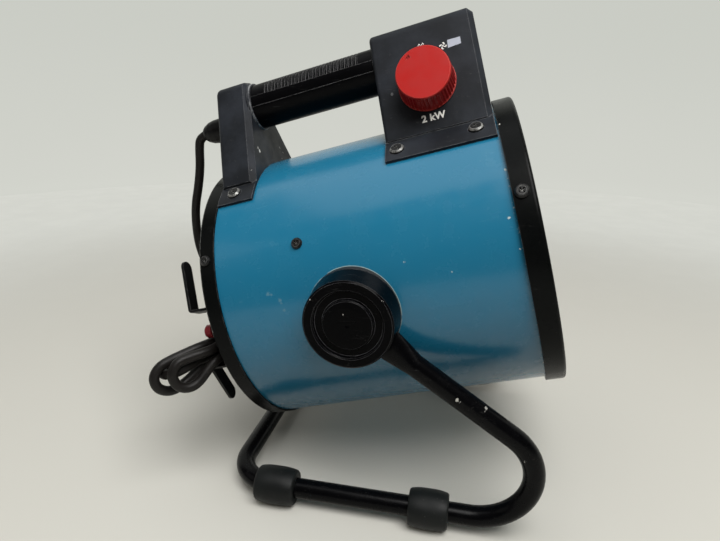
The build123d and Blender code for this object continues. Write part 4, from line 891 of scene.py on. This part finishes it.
plug_rows = [(14.0, 4.3), (14.2, 4.9), (15.0, 5.05)]
for i in range(5):
    y = 16.0 + i * 2.9
    r = 5.2 + (7.0 - 5.2) * i / 4
    plug_rows += [(y, r), (y + 0.35, r - 0.55), (y + 1.05, r - 0.55), (y + 1.4, r + 0.2), (y + 2.2, r + 0.3)]
plug_rows += [(31.0, 8.4), (33.0, 9.4), (34.0, 9.9), (36.5, 10.9), (40.0, 12.1), (44.0, 13.3), (46.0, 13.65), (48.0, 14.0)]
plug_rows += [(49.0 + 0.5 * i, 14.15 + 0.033 * i) for i in range(33)]
plug_rows += [(65.6, 15.3), (66.4, 15.45), (67.5, 15.5), (68.5, 15.55), (70.0, 15.55), (71.2, 15.3), (71.8, 14.8), (72.0, 14.2)]
plug_body = plug_lathe("plug_body", (-134.5, 7.4), plug_rows, MATS["plug_rubber"], shape=plug_shape)
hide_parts("mains_plug")
pin_rows = [(71.0, 2.35), (73.0, 2.35), (80.0, 2.35), (88.6, 2.35), (89.8, 2.1), (90.6, 1.5), (90.95, 0.7)]
pin_a = plug_lathe("plug_pin_a", (-144.0, 7.4), pin_rows, MATS["zinc_screw"], 32)
pin_b = plug_lathe("plug_pin_b", (-125.0, 7.4), pin_rows, MATS["zinc_screw"], 32)

tuple(D(-128.5, 0, 143.0))


# ---------------------------------------------------------------- floor and backdrop
def stage_disc(name, profile, mat, seg=96, start=0.0, turn=2 * math.pi):
    """A surface of revolution round the origin, from (radius, height) pairs; radius 0 closes to a point."""
    whole = turn > 6.28
    verts, rings = [], []
    cols = seg if whole else seg + 1
    for r, z in profile:
        if r == 0:
            rings.append([len(verts)] * cols)
            verts.append((0.0, 0.0, z))
            continue
        rings.append([len(verts) + i for i in range(cols)])
        for i in range(cols):
            t = start + turn * i / seg
            verts.append((r * math.cos(t), r * math.sin(t), z))
    faces = []
    for lo, hi in zip(rings, rings[1:]):
        for i in range(seg):
            k = (i + 1) % cols
            f = [lo[i], lo[k], hi[k], hi[i]]
            faces.append([v for n, v in enumerate(f) if v not in f[:n]])
    me = bpy.data.meshes.new(name)
    me.from_pydata(verts, [], faces)
    for p in me.polygons:
        p.use_smooth = True
    me.materials.append(mat)
    ob = bpy.data.objects.new(name, me)
    scene.collection.objects.link(ob)
    return ob


fl = Shader("pale_board")
n = fl.noise(1.1, 2.0)
col = fl.mix(n, lin(203, 202, 195), lin(209, 208, 201))
fx, fy, _ = fl.split(fl.obj)
away = fl.span(fl.math("SQRT", fl.add(fl.mul(fx, fx), fl.mul(fy, fy))), 0.40, 1.15)
col = fl.mix(away, col, (0.01, 0.01, 0.01, 1.0))
fl.set(Emission_Color=lin(202, 203, 196), Emission_Strength=away)
fl.set(Base_Color=col, Roughness=fl.span(fl.noise(14.0, 4.0, 0.6), 0.3, 0.7, 0.42, 0.50),
       Normal=fl.bump(fl.noise(300.0, 2.0), 0.01, 0.0001))
fl.bsdf.inputs["Specular IOR Level"].default_value = 0.12
wl = Shader("pale_wall")
_, _, wz = wl.split(wl.obj)
tone = wl.mix(wl.span(wz, 0.0, 0.7), lin(208, 209, 202), lin(201, 203, 196))
tone = wl.mix(wl.mul(wl.noise(0.9, 2.0), 0.5), tone, lin(196, 199, 190))
wl.set(Base_Color=(0.01, 0.01, 0.01, 1.0), Roughness=0.9, Emission_Color=tone, Emission_Strength=1.0)

floor = stage_disc("floor", [(0.0, -0.0001), (0.15, -0.0001), (0.5, -0.0001), (1.0, -0.0001), (1.62, -0.0001)], fl.mat)
floor.visible_diffuse = False
prof = [(1.60, -0.0002), (1.75, -0.0002)]
for i in range(1, 19):
    t = math.pi / 2 * i / 18
    prof.append((1.75 + 0.85 * math.sin(t), 0.85 - 0.85 * math.cos(t)))
prof += [(2.6, 1.4), (2.6, 2.2), (2.6, 3.2)]
wall_back = stage_disc("backdrop_back", prof, wl.mat, 48, math.radians(10), math.radians(160))
wall_front = stage_disc("backdrop_front", prof, wl.mat, 60, math.radians(170), math.radians(200))
for w in (wall_back, wall_front):
    w.visible_diffuse = False
    w.visible_shadow = False
wall_front.visible_glossy = False

# ---------------------------------------------------------------- light
world = bpy.data.worlds.new("studio")
scene.world = world
world.use_nodes = True
bg = world.node_tree.nodes["Background"]
bg.inputs[0].default_value = lin(192, 189, 180)
bg.inputs[1].default_value = 0.46
world.cycles_visibility.glossy = False


def area(name, loc, target, size, power, colour=(1, 1, 1), shape="RECTANGLE", size_y=None):
    d = bpy.data.lights.new(name, "AREA")
    d.shape = shape
    d.size = size
    if size_y:
        d.size_y = size_y
    d.energy = power
    d.color = colour
    o = bpy.data.objects.new(name, d)
    scene.collection.objects.link(o)
    o.location = loc
    o.rotation_mode = "QUATERNION"
    o.rotation_quaternion = (Vector(target) - Vector(loc)).to_track_quat("-Z", "Y")
    return o


area("key_light", (0.55, -0.80, 1.70), (0.0, 0.0, 0.15), 1.3, 33.0, (1.0, 0.99, 0.97), size_y=1.0)
area("top_light", (-0.45, -0.05, 2.0), (0.0, 0.0, 0.1), 1.7, 9.0, (0.97, 0.99, 1.0), size_y=1.6)
area("side_light", (-1.4, -0.7, 0.8), (0.0, 0.0, 0.2), 0.9, 1.2, (1.0, 0.97, 0.92), size_y=0.9)

scene.view_settings.view_transform = "Standard"
scene.view_settings.look = "None"
scene.view_settings.exposure = 0.0
scene.view_settings.gamma = 1.0
